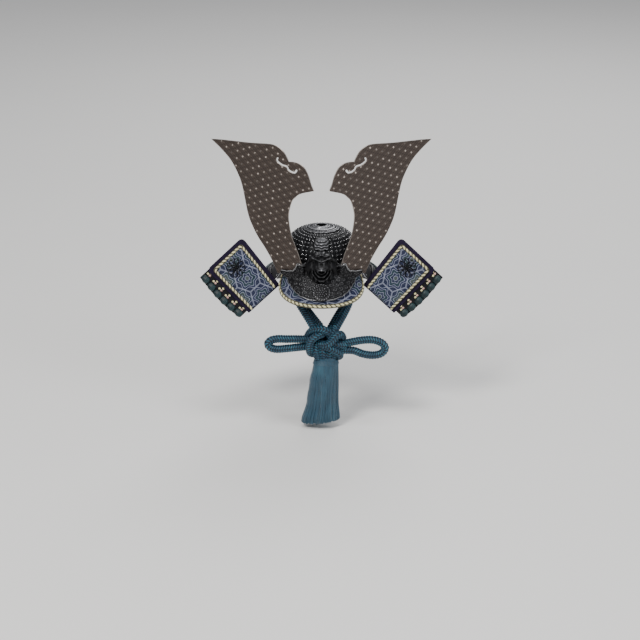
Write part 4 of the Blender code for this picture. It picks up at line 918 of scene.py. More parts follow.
@cache
def horn_dot_finish():
    colour = chosen("horn_dot")
    tree = FinishTree("horn_dots", 0.3, 0.75)
    cloud = tree.span(tree.noise(tree.point(), 150.0, 2.0), 0.35, 0.65)
    tree.tint(cloud, colour, 0.35, 1.45)
    return tree.material


@cache
def leather_finish():
    """Dark blue-violet dyed leather with a fine grain."""
    colour = chosen("leather")
    tree = FinishTree("dyed_leather", 0.65, 0.0, {"Specular IOR Level": 0.12})
    point = tree.point()
    cloud = tree.noise(point, 140.0, 4.0)
    tree.tint(cloud, colour, 0.6, 1.5)
    grain = tree.add("ShaderNodeTexVoronoi", {"Vector": point, "Scale": 1500.0})
    tree.bump(grain, 0.5, 0.0002)
    return tree.material


def silk(name, painted_groove_shade, colour, light, scale=1.0, sheen=0.4):
    """Silk thread, painted dark between the stitches as shade and pale on top of them as highlight."""
    tree = FinishTree(name, 0.5, 0.0, {"Sheen Weight": 0.5 * sheen, "Sheen Roughness": 0.35,
        "Specular IOR Level": 0.4})
    point = tree.point()
    cloud = tree.noise(point, 130.0 * scale, 3.0)
    top = tree.span(tree.relief(), 0.25, 0.8)
    base = tree.blend(top, painted_groove_shade, colour)
    painted_highlight = tree.times(tree.span(tree.relief(), 0.7, 1.0), tree.span(cloud, 0.35, 0.75, 0.15, 0.9))
    tree.paint(tree.blend(painted_highlight, base, light))
    tree.bump(tree.noise(point, 2600.0 * scale, 2.0), 0.4, 0.00012)
    return tree.material


@cache
def cord_silk():
    colour = chosen("teal")
    # The first colour is the painted shade between the stitches, the last the painted highlight on their
    # tops.
    return silk("cord_silk", darker(colour, 0.04), colour, (0.040, 0.19, 0.26))


@cache
def lace_silk():
    # The first colour is the painted shade between the stitches, the last the painted highlight on their
    # tops.
    return silk("lace_silk", (0.0006, 0.004, 0.005), (0.003, 0.022, 0.027), (0.008, 0.060, 0.062), 1.0, 0.1)


@cache
def tassel_silk():
    """Loose silk threads, slightly uneven in colour from thread to thread."""
    colour = chosen("tassel")
    tree = FinishTree("tassel_silk", 0.42, 0.0, {"Sheen Weight": 0.35, "Sheen Roughness": 0.3,
        "Anisotropic": 0.5, "Specular IOR Level": 0.7})
    point = tree.point()
    x, y, z = tree.split(point)
    stretched = tree.combine(x, y, tree.times(z, 0.04))
    streak = tree.noise(stretched, 900.0, 2.0)
    cloud = tree.noise(point, 45.0, 2.0)
    base = tree.blend(streak, darker(colour, 0.35), darker(colour, 1.45))
    tree.paint(tree.blend(tree.span(cloud, 0.45, 0.75, 0.0, 0.35), base, (0.035, 0.15, 0.21)))
    tree.bump(streak, 0.5, 0.0002)
    return tree.material


@cache
def brocade_finish():
    """Woven brocade: a net of six-sided medallions, each with a flower, on dark blue."""
    blue, teal, grey, outline = (chosen(key) for key in ("brocade_blue", "brocade_teal", "brocade_grey",
        "lavender"))
    tree = FinishTree("brocade", 0.6, 0.0, {"Specular IOR Level": 0.12})
    uv = tree.add("ShaderNodeUVMap", uv_map="cloth")
    wobble = tree.scaled(tree.vector("SUBTRACT", tree.add("ShaderNodeTexNoise",
        {"Vector": uv, "Scale": 3.0, "Detail": 2.0}, "Color"), (0.5, 0.5, 0.5)), 0.05)
    flat = tree.scaled(tree.vector("ADD", uv, wobble), 1.0 / 2.6)
    point = tree.vector("ADD", flat, (40.0, 40.0 * sqrt(3.0), 0.0))
    cell = (1.0, sqrt(3.0), 1.0)
    half = (0.5, 0.5 * sqrt(3.0), 0.0)
    first = tree.vector("SUBTRACT", tree.vector("MODULO", point, cell), half)
    second = tree.vector("SUBTRACT", tree.vector("MODULO", tree.vector("SUBTRACT", point, half), cell),
        half)
    closer = tree.math("LESS_THAN", tree.vector("DOT_PRODUCT", first, first, "Value"),
        tree.vector("DOT_PRODUCT", second, second, "Value"))
    local = tree.vector("ADD", second, tree.scaled(tree.vector("SUBTRACT", first, second), closer))
    size = tree.vector("ABSOLUTE", local)
    x, y, _ = tree.split(local)
    wide, _, _ = tree.split(size)
    net = tree.math("MAXIMUM", wide, tree.vector("DOT_PRODUCT", size, half, "Value"))
    turn = tree.math("ARCTAN2", y, x)
    reach = tree.vector("LENGTH", local, output="Value")
    petals = tree.times(reach, tree.minus(1.0, tree.times(tree.math("COSINE", tree.times(turn, 6.0)),
        0.16)))
    small = tree.times(reach, tree.plus(1.0, tree.times(tree.math("COSINE", tree.times(turn, 12.0)), 0.10)))
    tint = tree.add("ShaderNodeTexNoise", {"Vector": tree.vector("SUBTRACT", point, local), "Scale": 1.7,
        "Detail": 0.0})
    warm = tree.span(tint, 0.42, 0.58)
    ground = tree.blend(warm, blue, teal)
    other = tree.blend(warm, teal, grey)
    navy = darker(blue, 0.8)
    colour = navy
    for value, edge, inside in ((petals, 0.42, ground), (petals, 0.32, other), (petals, 0.19, navy),
            (small, 0.09, grey)):
        colour = tree.blend(tree.math("LESS_THAN", value, edge), colour, inside)
    scroll_noise = tree.add("ShaderNodeTexNoise", {"Vector": uv, "Scale": 4.4, "Detail": 1.0,
        "Distortion": 0.8})
    scroll = tree.near(tree.math("PINGPONG", tree.times(scroll_noise, 9.0), 1.0), 0.5, 0.16)
    colour = tree.blend(tree.times(scroll, 0.24), colour, outline)
    lines = tree.near(net, 0.485, 0.013)
    for value, centre, half_width in ((petals, 0.42, 0.017), (petals, 0.32, 0.014), (petals, 0.19, 0.014),
            (small, 0.09, 0.014)):
        lines = tree.math("MAXIMUM", lines, tree.near(value, centre, half_width))
    colour = tree.blend(tree.times(lines, 0.9), colour, outline)
    u, v, _ = tree.split(uv)
    weave = tree.times(tree.math("SINE", tree.times(u, 170.0)), tree.math("SINE", tree.times(v, 170.0)))
    shade = tree.span(weave, -1.0, 1.0, 0.0, 0.35)
    tree.paint(tree.blend(shade, colour, (0.004, 0.006, 0.012)))
    gloss = tree.minus(0.62, tree.times(lines, 0.2))
    tree.gloss(gloss)
    height = tree.plus(tree.times(lines, 0.8), tree.plus(tree.times(scroll, 0.3), tree.times(weave, 0.12)))
    tree.bump(height, 0.55, 0.0003)
    return tree.material


@cache
def wire_finish():
    tree = FinishTree("ring_metal", 0.24, 0.9)
    cloud = tree.noise(tree.point(), 350.0, 3.0)
    tree.paint(tree.blend(cloud, (0.05, 0.05, 0.055), (0.55, 0.55, 0.56)))
    return tree.material


# ---- Mesh helpers --------------------------------------------------------------------------

def grid_faces(rows, columns, start, wrap=False):
    faces = []
    spans = columns if wrap else columns - 1
    for row in range(rows - 1):
        for column in range(spans):
            right = (column + 1) % columns
            faces.append((start + row * columns + column, start + row * columns + right,
                start + (row + 1) * columns + right, start + (row + 1) * columns + column))
    return faces


def ring_band(first, second, count):
    """Faces between two rings of points."""
    return [(first + here, first + (here + 1) % count, second + (here + 1) % count, second + here) for here
        in range(count)]


def walls(edge, count):
    """Faces from an edge to the same edge count points on."""
    return [(here, there, there + count, here + count) for here, there in zip(edge, edge[1:] + edge[:1])]


def end_faces(count, last):
    return [tuple(range(count)), tuple(range(last, last + count))]


def set_relief(mesh, heights):
    layer = mesh.attributes.new("relief", "FLOAT", "POINT")
    layer.data.foreach_set("value", heights)


def border(rows, columns, start):
    top = [start + column for column in range(columns - 1)]
    right = [start + row * columns + columns - 1 for row in range(rows - 1)]
    bottom = [start + (rows - 1) * columns + column for column in range(columns - 1, 0, -1)]
    left = [start + row * columns for row in range(rows - 1, 0, -1)]
    return top + right + bottom + left


def closed_mesh(name, vertices, faces, finish, side=1, spots=None, uv_name="cloth", heights=None,
        crease=40.0):
    """Closed mesh object with faces out; spots are UV places in cm, heights the relief share."""
    mesh = bpy.data.meshes.new(name)
    mesh.from_pydata([on_side(vertex, side) for vertex in vertices], [], faces)
    work = bmesh.new()
    work.from_mesh(mesh)
    bmesh.ops.recalc_face_normals(work, faces=work.faces)
    if work.calc_volume(signed=True) < 0.0:
        bmesh.ops.reverse_faces(work, faces=work.faces)
    work.to_mesh(mesh)
    work.free()
    if spots is not None:
        layer = mesh.uv_layers.new(name=uv_name)
        for loop in mesh.loops:
            layer.data[loop.index].uv = spots[loop.vertex_index]
    if heights is not None:
        set_relief(mesh, heights)
    mesh.shade_smooth()
    mesh.set_sharp_from_angle(angle=radians(crease))
    mesh.materials.append(finish)
    return link_object(name, mesh)


def plate(name, finish, place, wall, columns, rows, side=1, spot=None, raised=None, uv_name="cloth",
        crease=40.0):
    """Plate over shares (along, across) of a surface; place(a, b, lift) gives its points.

    raised(a, b) gives the extra height of the front and the relief share there."""
    front, back, spots, heights = [], [], [], []
    for row in range(rows + 1):
        for column in range(columns + 1):
            a, b = row / rows, column / columns
            extra, height = raised(a, b) if raised else (0.0, 0.0)
            front.append(place(a, b, wall + extra))
            back.append(place(a, b, 0.0))
            heights.append(height)
            if spot:
                spots.append(spot(a, b))
    count = len(front)
    wide, tall = columns + 1, rows + 1
    faces = grid_faces(tall, wide, 0) + grid_faces(tall, wide, count)
    faces += walls(border(tall, wide, 0), count)
    return closed_mesh(name, front + back, faces, finish, side, spots * 2 if spot else None, uv_name,
        heights * 2, crease)


def lathe(name, profile, sides, finish, centre=(0.0, 0.0, 0.0)):
    """Closed turned body; the profile is a closed list of (radius, height)."""
    vertices, faces = [], []
    for radius, height in profile:
        for side in range(sides):
            turn = TURN * side / sides
            vertices.append(Vector((centre[0] + radius * cos(turn), centre[1] + radius * sin(turn),
                centre[2] + height)))
    faces = grid_faces(len(profile), sides, 0, wrap=True)
    faces += ring_band((len(profile) - 1) * sides, 0, sides)
    return closed_mesh(name, vertices, faces, finish)


def dome_stud(sides=10):
    """Small stud one unit in radius and height, with a collar."""
    profile = ((0.02, 0.0), (1.0, 0.0), (1.0, 0.12), (0.80, 0.20), (0.78, 0.45), (0.60, 0.78), (0.32, 0.95),
        (0.02, 1.0))
    return lathe("small_stud", profile, sides, None)


def soft_tube(path, radius, sides, closed=False):
    """Vertices and faces of a plain tube along a path."""
    vertices = []
    count = len(path)
    for index, point in enumerate(path):
        if closed:
            ahead = path[(index + 1) % count] - path[index - 1]
        else:
            ahead = path[min(index + 1, count - 1)] - path[max(index - 1, 0)]
        first = ahead.cross(Vector((0.13, 0.31, 0.94))).normalized()
        second = ahead.cross(first).normalized()
        for side in range(sides):
            turn = TURN * side / sides
            vertices.append(point + first * (cos(turn) * radius) + second * (sin(turn) * radius))
    faces = grid_faces(count, sides, 0, wrap=True)
    last = (count - 1) * sides
    faces += ring_band(last, 0, sides) if closed else end_faces(sides, last)
    return vertices, faces


def relief_piece(name, finish, outline, place, height, rings, spokes):
    """Round or shield-shaped casting: place(x, z, lift) seats it, height(x, z, share) shapes it."""
    vertices, heights, faces = [], [], []
    for layer in (1, 0):
        for ring in range(rings + 1):
            share = 0.004 + 0.996 * ring / rings
            for spoke in range(spokes):
                x, z = outline(TURN * spoke / spokes, share)
                lift, shade = height(x, z, share)
                vertices.append(place(x, z, lift * layer))
                heights.append(shade)
    rows = rings + 1
    count = rows * spokes
    faces = grid_faces(rows, spokes, 0, wrap=True) + grid_faces(rows, spokes, count, wrap=True)
    last = (rows - 1) * spokes
    faces += ring_band(last, count + last, spokes) + end_faces(spokes, count)
    return closed_mesh(name, vertices, faces, finish, heights=heights, crease=60.0)


def settle(piece, slot, *nodes):
    """Joins a piece to the helmet's one body and hides the nodes it stands for; the slot is not used."""
    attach(piece, "root")
    if nodes:
        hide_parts(*nodes)
    return piece


def rounded(piece, width, segments=2):
    bevel = piece.modifiers.new("soft_edges", "BEVEL")
    bevel.width = width
    bevel.segments = segments
    bevel.limit_method = "ANGLE"
    bevel.angle_limit = radians(50.0)
    return piece


# ---- Pieces --------------------------------------------------------------------------------

def make_camera():
    """Camera at the photograph's place: above the helmet's front, looking down at it."""
    setup = bpy.context.scene.kabuto_sizes
    data = bpy.data.cameras.new("camera")
    data.lens = setup.lens
    data.sensor_width = 36.0
    data.dof.use_dof = False
    camera = link_object("camera", data)
    away = setup.camera_distance
    camera.location = (-0.0015, -away * cos(CAMERA_RISE), away * sin(CAMERA_RISE))
    camera.rotation_euler = (CAMERA_TILT, 0.0, 0.0)
    bpy.context.scene.camera = camera


def path_length(points):
    return sum((there - here).length for here, there in zip(points, points[1:]))


def make_cords():
    """Doubled chin cord from each ring to the knot, and the two loops of the bow."""
    knot = make_knot()
    tassel = make_tassel()
    pieces = []
    for name, tenths in list(STRAND_ROUTES.items()) + list(LOOP_ROUTES.items()):
        route = in_metres(tenths)
        points = into_knot(smooth_curve(route, 6), name.startswith("loop"))
        piece = grow("braided_" + name, line_object([points]), cord_tree(), cord_sizes())
        settle(piece, "teal_silk", name)
        pieces.append((piece, route, points))
    for number, (piece, route, points) in enumerate(pieces):
        tuple(route[0])
        round(path_length(points), 4)
        [tuple(point) for point in points]


def into_knot(points, both_ends):
    """The line with its ends carried a little way into the knot."""
    ahead = (points[-1] - points[-3]).normalized()
    if both_ends:
        behind = (points[0] - points[2]).normalized()
        return ([points[0] + behind * KNOT_LAP] + points + [points[-1] + ahead * KNOT_LAP])
    inward = (KNOT_HEART - points[-1]).normalized()
    bend = points[-1] + (ahead + inward * 0.9).normalized() * 2.4 * MM
    return points + [bend, bend + inward * 2.6 * MM]


def cord_sizes(radius=0.545 * CORD_DIAMETER):
    return {"Cord radius": radius, "Stitch length": 2.5 * MM, "Relief": 1.0 * MM, "Columns": 6.0,
        "Step": 0.32 * MM, "Finish": cord_silk()}


def make_knot():
    turns = []
    for number, route in enumerate(KNOT_TURNS):
        radius = (0.53 if number < 10 else 0.66) * CORD_DIAMETER
        turns.append(grow("turn", line_object([smooth_curve(in_metres(route), 6)]), cord_tree(),
            cord_sizes(radius)))
    return settle(join("knot_turns", turns), "teal_silk", "knot")


def tassel_point(share, turn, layer):
    """Point of the tassel at a share of its length; layer is 1 at its surface."""
    half = table_value(TASSEL_ROWS, share, 1)
    shift = table_value(TASSEL_ROWS, share, 2)
    reach = TASSEL_WIDTH * half * layer
    x = TASSEL_X + TASSEL_WIDTH * shift + reach * cos(turn)
    y = TASSEL_Y + reach * TASSEL_DEPTH_SHARE * sin(turn)
    slant = 0.10 * (x - TASSEL_X) * ease((share - 0.6) / 0.4)
    return Vector((x, y, TASSEL_TOP - TASSEL_LENGTH * share + slant))


def make_tassel():
    """Silk threads over a plain core, bound at the head."""
    chance = random.Random(41)
    lines = []
    for layer, count in ((0.985, 230), (0.94, 200), (0.80, 110), (0.55, 70)):
        for number in range(count):
            turn = TURN * (number + chance.uniform(-0.35, 0.35)) / count
            sway = chance.uniform(-0.10, 0.10)
            lean = chance.uniform(-0.05, 0.05)
            end = 1.0 - chance.uniform(0.0, 0.035)
            ripple = chance.uniform(0.0, 6.3)
            line = []
            for step in range(15):
                share = 0.015 + (end - 0.015) * step / 14
                wave = 0.018 * sin(5.0 * share + ripple) * ease(share * 3.0)
                line.append(tassel_point(share, turn + sway * share + wave, layer *
                    (1.0 + lean * share * 0.4) - 0.01))
            lines.append(line)
    strands = settle(threads("tassel_threads", lines, 0.42 * MM, tassel_silk(), 5), "teal_silk", "tassel")
    vertices = []
    rows, columns = 24, 48
    for row in range(rows + 1):
        share = 0.97 * row / rows
        for column in range(columns):
            vertices.append(tassel_point(share, TURN * column / columns, 0.93))
    faces = grid_faces(rows + 1, columns, 0, wrap=True)
    faces += end_faces(columns, rows * columns)
    core = closed_mesh("tassel_core", vertices, faces, tassel_silk())
    settle(core, "teal_silk")
    rings = []
    for number in range(5):
        share = 0.050 + 0.013 * number
        rings.append([tassel_point(share, TURN * step / 48, 1.01) for step in range(48)])
    binding = threads("tassel_binding", rings, 0.55 * MM, tassel_silk(), cyclic=True)
    return [strands, core, settle(binding, "teal_silk")]


def make_rings():
    """Wire ring under each side of the band."""
    out = rim_normal(RING_ANGLE)
    down = Vector((0.0, 0.0, -1.0))
    corner = rim_point(RING_ANGLE) + out * (BAND_FLARE - BAND_WALL) + down * (GAP + BAND_DROP)
    centre = corner + (down - out).normalized() * (RING_RADIUS + RING_WIRE + GAP)
    for side in (1, -1):
        path = []
        for step in range(48):
            turn = TURN * step / 48
            path.append(on_side(centre + out * (cos(turn) * RING_RADIUS) + down * (sin(turn) * RING_RADIUS),
                side))
        vertices, faces = soft_tube(path, RING_WIRE, 12, closed=True)
        ring = closed_mesh(side_name("wire_ring", side), vertices, faces, wire_finish())
        settle(ring, "grey_iron", side_name("cord_ring", side))


def make_bowl():
    """Ribbed bowl, and its rows of studs between the ribs."""
    setup = bpy.context.scene.kabuto_sizes
    opening = climb_at(CROWN_HOLE_RADIUS + BOWL_HOLE_ROOM)
    crown_climb = climb_at(CROWN_RADIUS + GAP)
    empty = link_object("empty", bpy.data.meshes.new("empty"))
    bowl = grow("bowl_plates", empty, dome_tree(), {"Half width": BOWL_HALF_WIDTH,
        "Half depth": BOWL_HALF_DEPTH, "Height": BOWL_HEIGHT, "Fullness": BOWL_FULLNESS, "Wall": BOWL_WALL,
        "Rib height": RIB_HEIGHT, "Plates": float(BOWL_PLATES), "Opening climb": opening,
        "Crown climb": crown_climb, "Columns": 385, "Rows": 85, "Finish": iron_finish()})
    settle(bowl, "bowl_iron", "bowl")
    marks = []
    climbs = []
    climb, run = 0.0, setup.stud_spacing * 0.8
    last = bowl_point(0.0, 0.0)
    while climb < crown_climb:
        climb += 0.004
        here = bowl_point(0.0, climb)
        run += (here - last).length
        last = here
        if run >= setup.stud_spacing:
            run = 0.0
            climbs.append(climb)
    for climb in climbs:
        fade = 1.0 - 0.35 * (climb / crown_climb) ** 2
        for number in range(BOWL_PLATES):
            for share in (-0.23, 0.23):
                angle = 360.0 * (number + share) / BOWL_PLATES
                here = bowl_point(angle, climb)
                ahead = bowl_point(angle + 0.5, climb) - bowl_point(angle - 0.5, climb)
                up = bowl_point(angle, climb + 0.01) - bowl_point(angle, max(0.0, climb - 0.01))
                out = up.cross(ahead).normalized()
                if out.dot(here) < 0.0:
                    out.negate()
                marks.append((here - out * 0.05 * MM, out, up.normalized(), fade))
    stud = dome_stud()
    radius = setup.stud_radius
    studs = place_on("bowl_studs", marks, stud, radius, radius, radius * 1.35, clouded("stud_heads"))
    drop(stud)
    settle(studs, "bowl_iron")


def make_crown():
    """Stepped rosette round the crown hole, turned with fine beads on its steps."""
    hole = CROWN_HOLE_RADIUS
    base = BOWL_HEIGHT + GAP - 0.2 * CROWN_HEIGHT
    steps = ((1.00, 0.06), (1.00, 0.30), (0.985, 0.36), (0.955, 0.38), (0.94, 0.33), (0.925, 0.36),
        (0.915, 0.44), (0.88, 0.50), (0.80, 0.54), (0.775, 0.60), (0.745, 0.60), (0.73, 0.52), (0.72, 0.38),
        (0.69, 0.36), (0.675, 0.42), (0.668, 0.62), (0.65, 0.72), (0.62, 0.76), (0.585, 0.76),
        (0.565, 0.70), (0.55, 0.72), (0.535, 0.84), (0.51, 0.88), (0.475, 0.89), (0.455, 0.84),
        (0.44, 0.86), (0.425, 0.95), (0.40, 0.99), (0.365, 1.00), (0.335, 0.97))
    profile = [(max(hole, CROWN_RADIUS * share), base + CROWN_HEIGHT * up) for share, up in steps]
    profile.append((hole, profile[-1][1] - 0.4 * MM))
    profile += [(hole, bowl_height(hole) + GAP), (CROWN_RADIUS, bowl_height(CROWN_RADIUS) + GAP)]
    crown = lathe("crown_rosette", profile, 128, cast_finish("grey_cast"))
    # Painted highlight: three of every six rings of the profile are painted pale.
    set_relief(crown.data, [0.9 if index % 6 in (2, 3, 4) else 0.0 for index in range(len(profile)) for _ in
        range(128)])
    settle(crown, "grey_iron", "crown_ring")
    reach = CROWN_RADIUS
    rows = ((0.94, 1.3), (1.02, 1.5), (1.06, 1.4), (1.09, 1.1), (1.10, 0.5), (1.08, 0.2), (0.94, 0.3))
    collar = lathe("crown_collar", [(reach * share, bowl_height(reach * share) + up * MM) for share,
        up in rows], 192, cast_finish("grey_cast"))
    for vertex in collar.data.vertices:
        x, y, z = vertex.co
        away = hypot(x, y)
        scallop = abs(cos(8.0 * atan2(y, x))) ** 0.6
        grow_by = 1.0 + 0.07 * scallop * ease((away / reach - 1.0) / 0.1)
        vertex.co = (x * grow_by, y * grow_by, z)
    # Painted highlight: the collar's outer rim rows are painted pale.
    set_relief(collar.data, [0.62 if index in (2, 3) else 0.12 for index in range(len(rows)) for _ in
        range(192)])
    settle(collar, "grey_iron")


def brow_spot(angle, down):
    """Place on unrolled cloth in cm."""
    return (radians(angle) * 3.95 + 0.35, 4.05 - down * 100.0)


def make_visor():
    """Brocade-covered visor with a twisted braid along its edge."""
    def angle_at(share):
        return VISOR_END_ANGLE * sin(pi * (share - 0.5))

    def down_at(a, angle):
        return -VISOR_LAP + (visor_reach(angle) + VISOR_LAP) * a

    def place(a, b, lift):
        angle = angle_at(b)
        return brow_point(angle, down_at(a, angle), VISOR_LIFT + lift)

    def spot(a, b):
        angle = angle_at(b)
        return brow_spot(angle, down_at(a, angle))

    visor = plate("visor_cloth", brocade_finish(), place, VISOR_WALL, 96, 20, spot=spot)
    settle(visor, "brocade", "visor")
    lift = VISOR_LIFT + 0.5 * VISOR_WALL
    angles = [angle_at(step / 96) for step in range(97)]
    edge = [brow_point(angle, visor_reach(angle), lift) for angle in angles]
    path, below, above = [], [], []
    for index in range(4, len(angles) - 4):
        ahead = (edge[index + 1] - edge[index - 1]).normalized()
        normal = brow_normal(angles[index], visor_reach(angles[index]))
        out = ahead.cross(normal).normalized()
        if out.z > 0.0:
            out.negate()
        path.append(edge[index] + out * (0.5 * BRAID_DIAMETER) + normal * 0.2 * MM)
        below.append(path[-1] + out * (0.50 * BRAID_DIAMETER) - normal * 0.3 * MM)
        above.append(path[-1] - out * (0.46 * BRAID_DIAMETER) + normal * 0.8 * MM)
    setup = bpy.context.scene.kabuto_sizes
    twisted = rope("twisted", [path], 0.46 * BRAID_DIAMETER, setup.rope_pitch, (clouded("cream_thread"),
        clouded("olive_thread")))
    braid = join("visor_rope", [twisted, threads("piping", [below, above], 0.55 * MM,
        clouded("olive_thread"))])
    settle(braid, "cream_braid", "visor_braid")


def horn_out():
    return Vector((sin(HORN_SWEEP), -cos(HORN_SWEEP), 0.0))


def horn_point(x, z):
    return Vector((x, -HORN_FRONT + (abs(x) - HORN_INNER) * tan(HORN_SWEEP), z))


def horn_outline(per_span):
    points = [(out * HORN_SPREAD, up * HORN_HEIGHT, corner) for out, up, corner in HORN_OUTLINE]
    starts = [index for index, point in enumerate(points) if point[2]]
    outline = []
    for number, start in enumerate(starts):
        end = starts[(number + 1) % len(starts)]
        length = (end - start) % len(points)
        run = [points[(start + step) % len(points)][:2] + (0.0,) for step in range(length + 1)]
        outline += [Vector(run[0])] if length == 1 else smooth_curve(run, per_span)[:-1]
    return [(point.x, point.y) for point in outline]


def slit_outline():
    line = smooth_curve([(out * HORN_SPREAD, up * HORN_HEIGHT, 0.0) for out, up in SLIT_LINE], 6)
    left, right = [], []
    for index, point in enumerate(line):
        ahead = line[min(index + 1, len(line) - 1)] - line[max(index - 1, 0)]
        across = Vector((-ahead.y, ahead.x, 0.0)).normalized()
        from_end = min(index, len(line) - 1 - index)
        taper = (0.45, 0.8, 0.95)[from_end] if from_end < 3 else 1.0
        swell = 1.0 + 0.35 * ease((index - len(line) * 0.8) / (len(line) * 0.15))
        left.append(point + across * (0.5 * SLIT_WIDTH * taper * swell))
        right.append(point - across * (0.5 * SLIT_WIDTH * taper * swell))
    return [(point.x, point.y) for point in left + right[::-1]]


def make_horns():
    """Flat pierced horns with pressed dots, and an edge painted bright as highlight."""
    loops = [horn_outline(8), slit_outline()]
    flat = [point for loop in loops for point in loop]
    triangles = geometry.tessellate_polygon([[Vector((x, z, 0.0)) for x, z in loop] for loop in loops])
    out = horn_out()
    half = 0.5 * HORN_THICKNESS
    inset = 0.35 * MM
    count = len(flat)
    shrunk = []
    for loop in loops:
        size = len(loop)
        area = sum(loop[i][0] * loop[(i + 1) % size][1] - loop[(i + 1) % size][0] * loop[i][1] for i in
            range(size))
        turn = copysign(1.0, area) * (1.0 if loop is loops[0] else -1.0)
        for index in range(size):
            before, after = Vector(loop[index - 1]), Vector(loop[(index + 1) % size])
            ahead = (after - before).normalized()
            inward = Vector((-ahead.y, ahead.x)) * turn
            shrunk.append(Vector(loop[index]) + inward * inset)
    for side in (1, -1):
        vertices, spots = [], []
        for points, lift in ((shrunk, half), (flat, half - inset), (flat, inset - half), (shrunk, -half)):
            for x, z in points:
                vertices.append(horn_point(x, z) + out * lift)
                spots.append((x / cos(HORN_SWEEP) * 100.0, z * 100.0))
        faces = [tuple(triangle) for triangle in triangles]
        faces += [tuple(index + 3 * count for index in triangle) for triangle in triangles]
        plain = len(faces)
        for layer in range(3):
            start = layer * count
            for loop in loops:
                size = len(loop)
                for index in range(size):
                    here, there = start + index, start + (index + 1) % size
                    faces.append((here, there, there + count, here + count))
                start += size
        horn = closed_mesh(side_name("horn_plate", side), vertices, faces, horn_finish(), side, spots,
            "plane", crease=30.0)
        # The edge faces get the brighter horn_edge finish, a painted highlight.
        horn.data.materials.append(clouded("horn_edge"))
        for index in range(plain, len(faces)):
            horn.data.polygons[index].material_index = 1
        first, second = horn_lattice()
        stud = dome_stud(8)
        facing = on_side(out, side)
        level = Vector((cos(HORN_SWEEP), sin(HORN_SWEEP), 0.0))
        steps = [on_side(level * step.x, side) + Vector((0.0, 0.0, step.y)) for step in (first, second)]
        origin = on_side(horn_point(0.0, 0.0) + out * 6.0 * MM, side)
        for face, length in (("front", 1.0), ("back", -1.0)):
            target = link_object("target", horn.data.copy())
            dots = grow(side_name("horn_dots_" + face, side), target, lattice_tree(),
                {"Piece": stud, "Lattice origin": origin if length > 0 else origin - facing * 12.0 * MM,
                "First step": steps[0], "Second step": steps[1], "Facing": facing * length,
                "Upright": Vector((0.0, 0.0, 1.0)), "Count": 61, "Margin": 0.9 * MM, "Size": 1.0 * MM,
                "Finish": horn_dot_finish()})
            settle(horn_seat(dots, facing * length, half, side), "horn_metal")
        drop(stud)
        settle(horn, "horn_metal", side_name("horn", side))


def horn_seat(dots, facing, half, side):
    """Lowers the dots from their lattice plane on to the face of the horn, flattened."""
    plane = on_side(horn_point(0.0, 0.0), side).dot(facing)
    for vertex in dots.data.vertices:
        height = vertex.co.dot(facing) - plane - 6.0 * MM
        vertex.co -= facing * (6.0 * MM - half + height * 0.6)
    return dots


def scroll_relief(level, down):
    """Arabesque of small spirals with leaves, as a share of 1."""
    pitch = 5.2 * MM
    row = round(down / (pitch * 0.86))
    best = 0.12
    for near_row in (row - 1, row, row + 1):
        offset = 0.5 * pitch * (near_row % 2)
        column = round((level - offset) / pitch)
        for near_column in (column - 1, column, column + 1):
            chance = random.Random(near_row * 131 + near_column * 17 + 5)
            cx = near_column * pitch + offset + chance.uniform(-0.6, 0.6) * MM
            cy = near_row * pitch * 0.86 + chance.uniform(-0.5, 0.5) * MM
            dx, dy = level - cx, down - cy
            reach = hypot(dx, dy)
            radius = chance.uniform(0.52, 0.62) * pitch
            if reach > radius:
                continue
            hand = 1.0 if (near_row + near_column) % 2 else -1.0
            turn = atan2(dy, dx) * hand / (TURN) + chance.random()
            wave = 0.5 + 0.5 * cos(TURN * (reach / (1.7 * MM) - turn))
            leaf = 0.5 + 0.5 * cos(TURN * (3.0 * turn + reach / (5.0 * MM)))
            fall = ease((radius - reach) / (0.35 * radius))
            best = max(best, (0.75 * wave ** 1.5 + 0.25 * leaf) * fall)
    return best


def sleeve_share(angle, down):
    size = abs(angle)
    sides = ease((size - 22.0) / 3.5) * ease((63.0 - size) / 4.0)
    return sides * ease((SLEEVE_DEPTH + SLEEVE_FADE - down) / SLEEVE_FADE)


def stand_point(angle, down, lift):
    """Point of the stand; over a horn's foot its front swells out to cover it."""
    point = brow_point(angle, down, STAND_LIFT + lift)
    if lift <= 0.0:
        return point
    side = 1.0 if angle >= 0.0 else -1.0
    out = on_side(horn_out(), side)
    foot = Vector((side * HORN_INNER, -HORN_FRONT, 0.0))
    reach = 0.5 * HORN_THICKNESS + HORN_CLEARANCE + SLEEVE_WALL + lift - STAND_WALL
    swell = max(0.0, reach - (point - foot).dot(out))
    return point + out * (swell * sleeve_share(angle, down))


def stand_edges(angle):
    """Lower and upper edge of the stand at an angle."""
    return [table_value(STAND_EDGES, abs(angle), column) * STAND_REACH for column in (1, 2)]


def stand_spot(a, b):
    angle = STAND_END_ANGLE * (2.0 * b - 1.0)
    low, high = stand_edges(angle)
    return angle, high + (low - high) * a


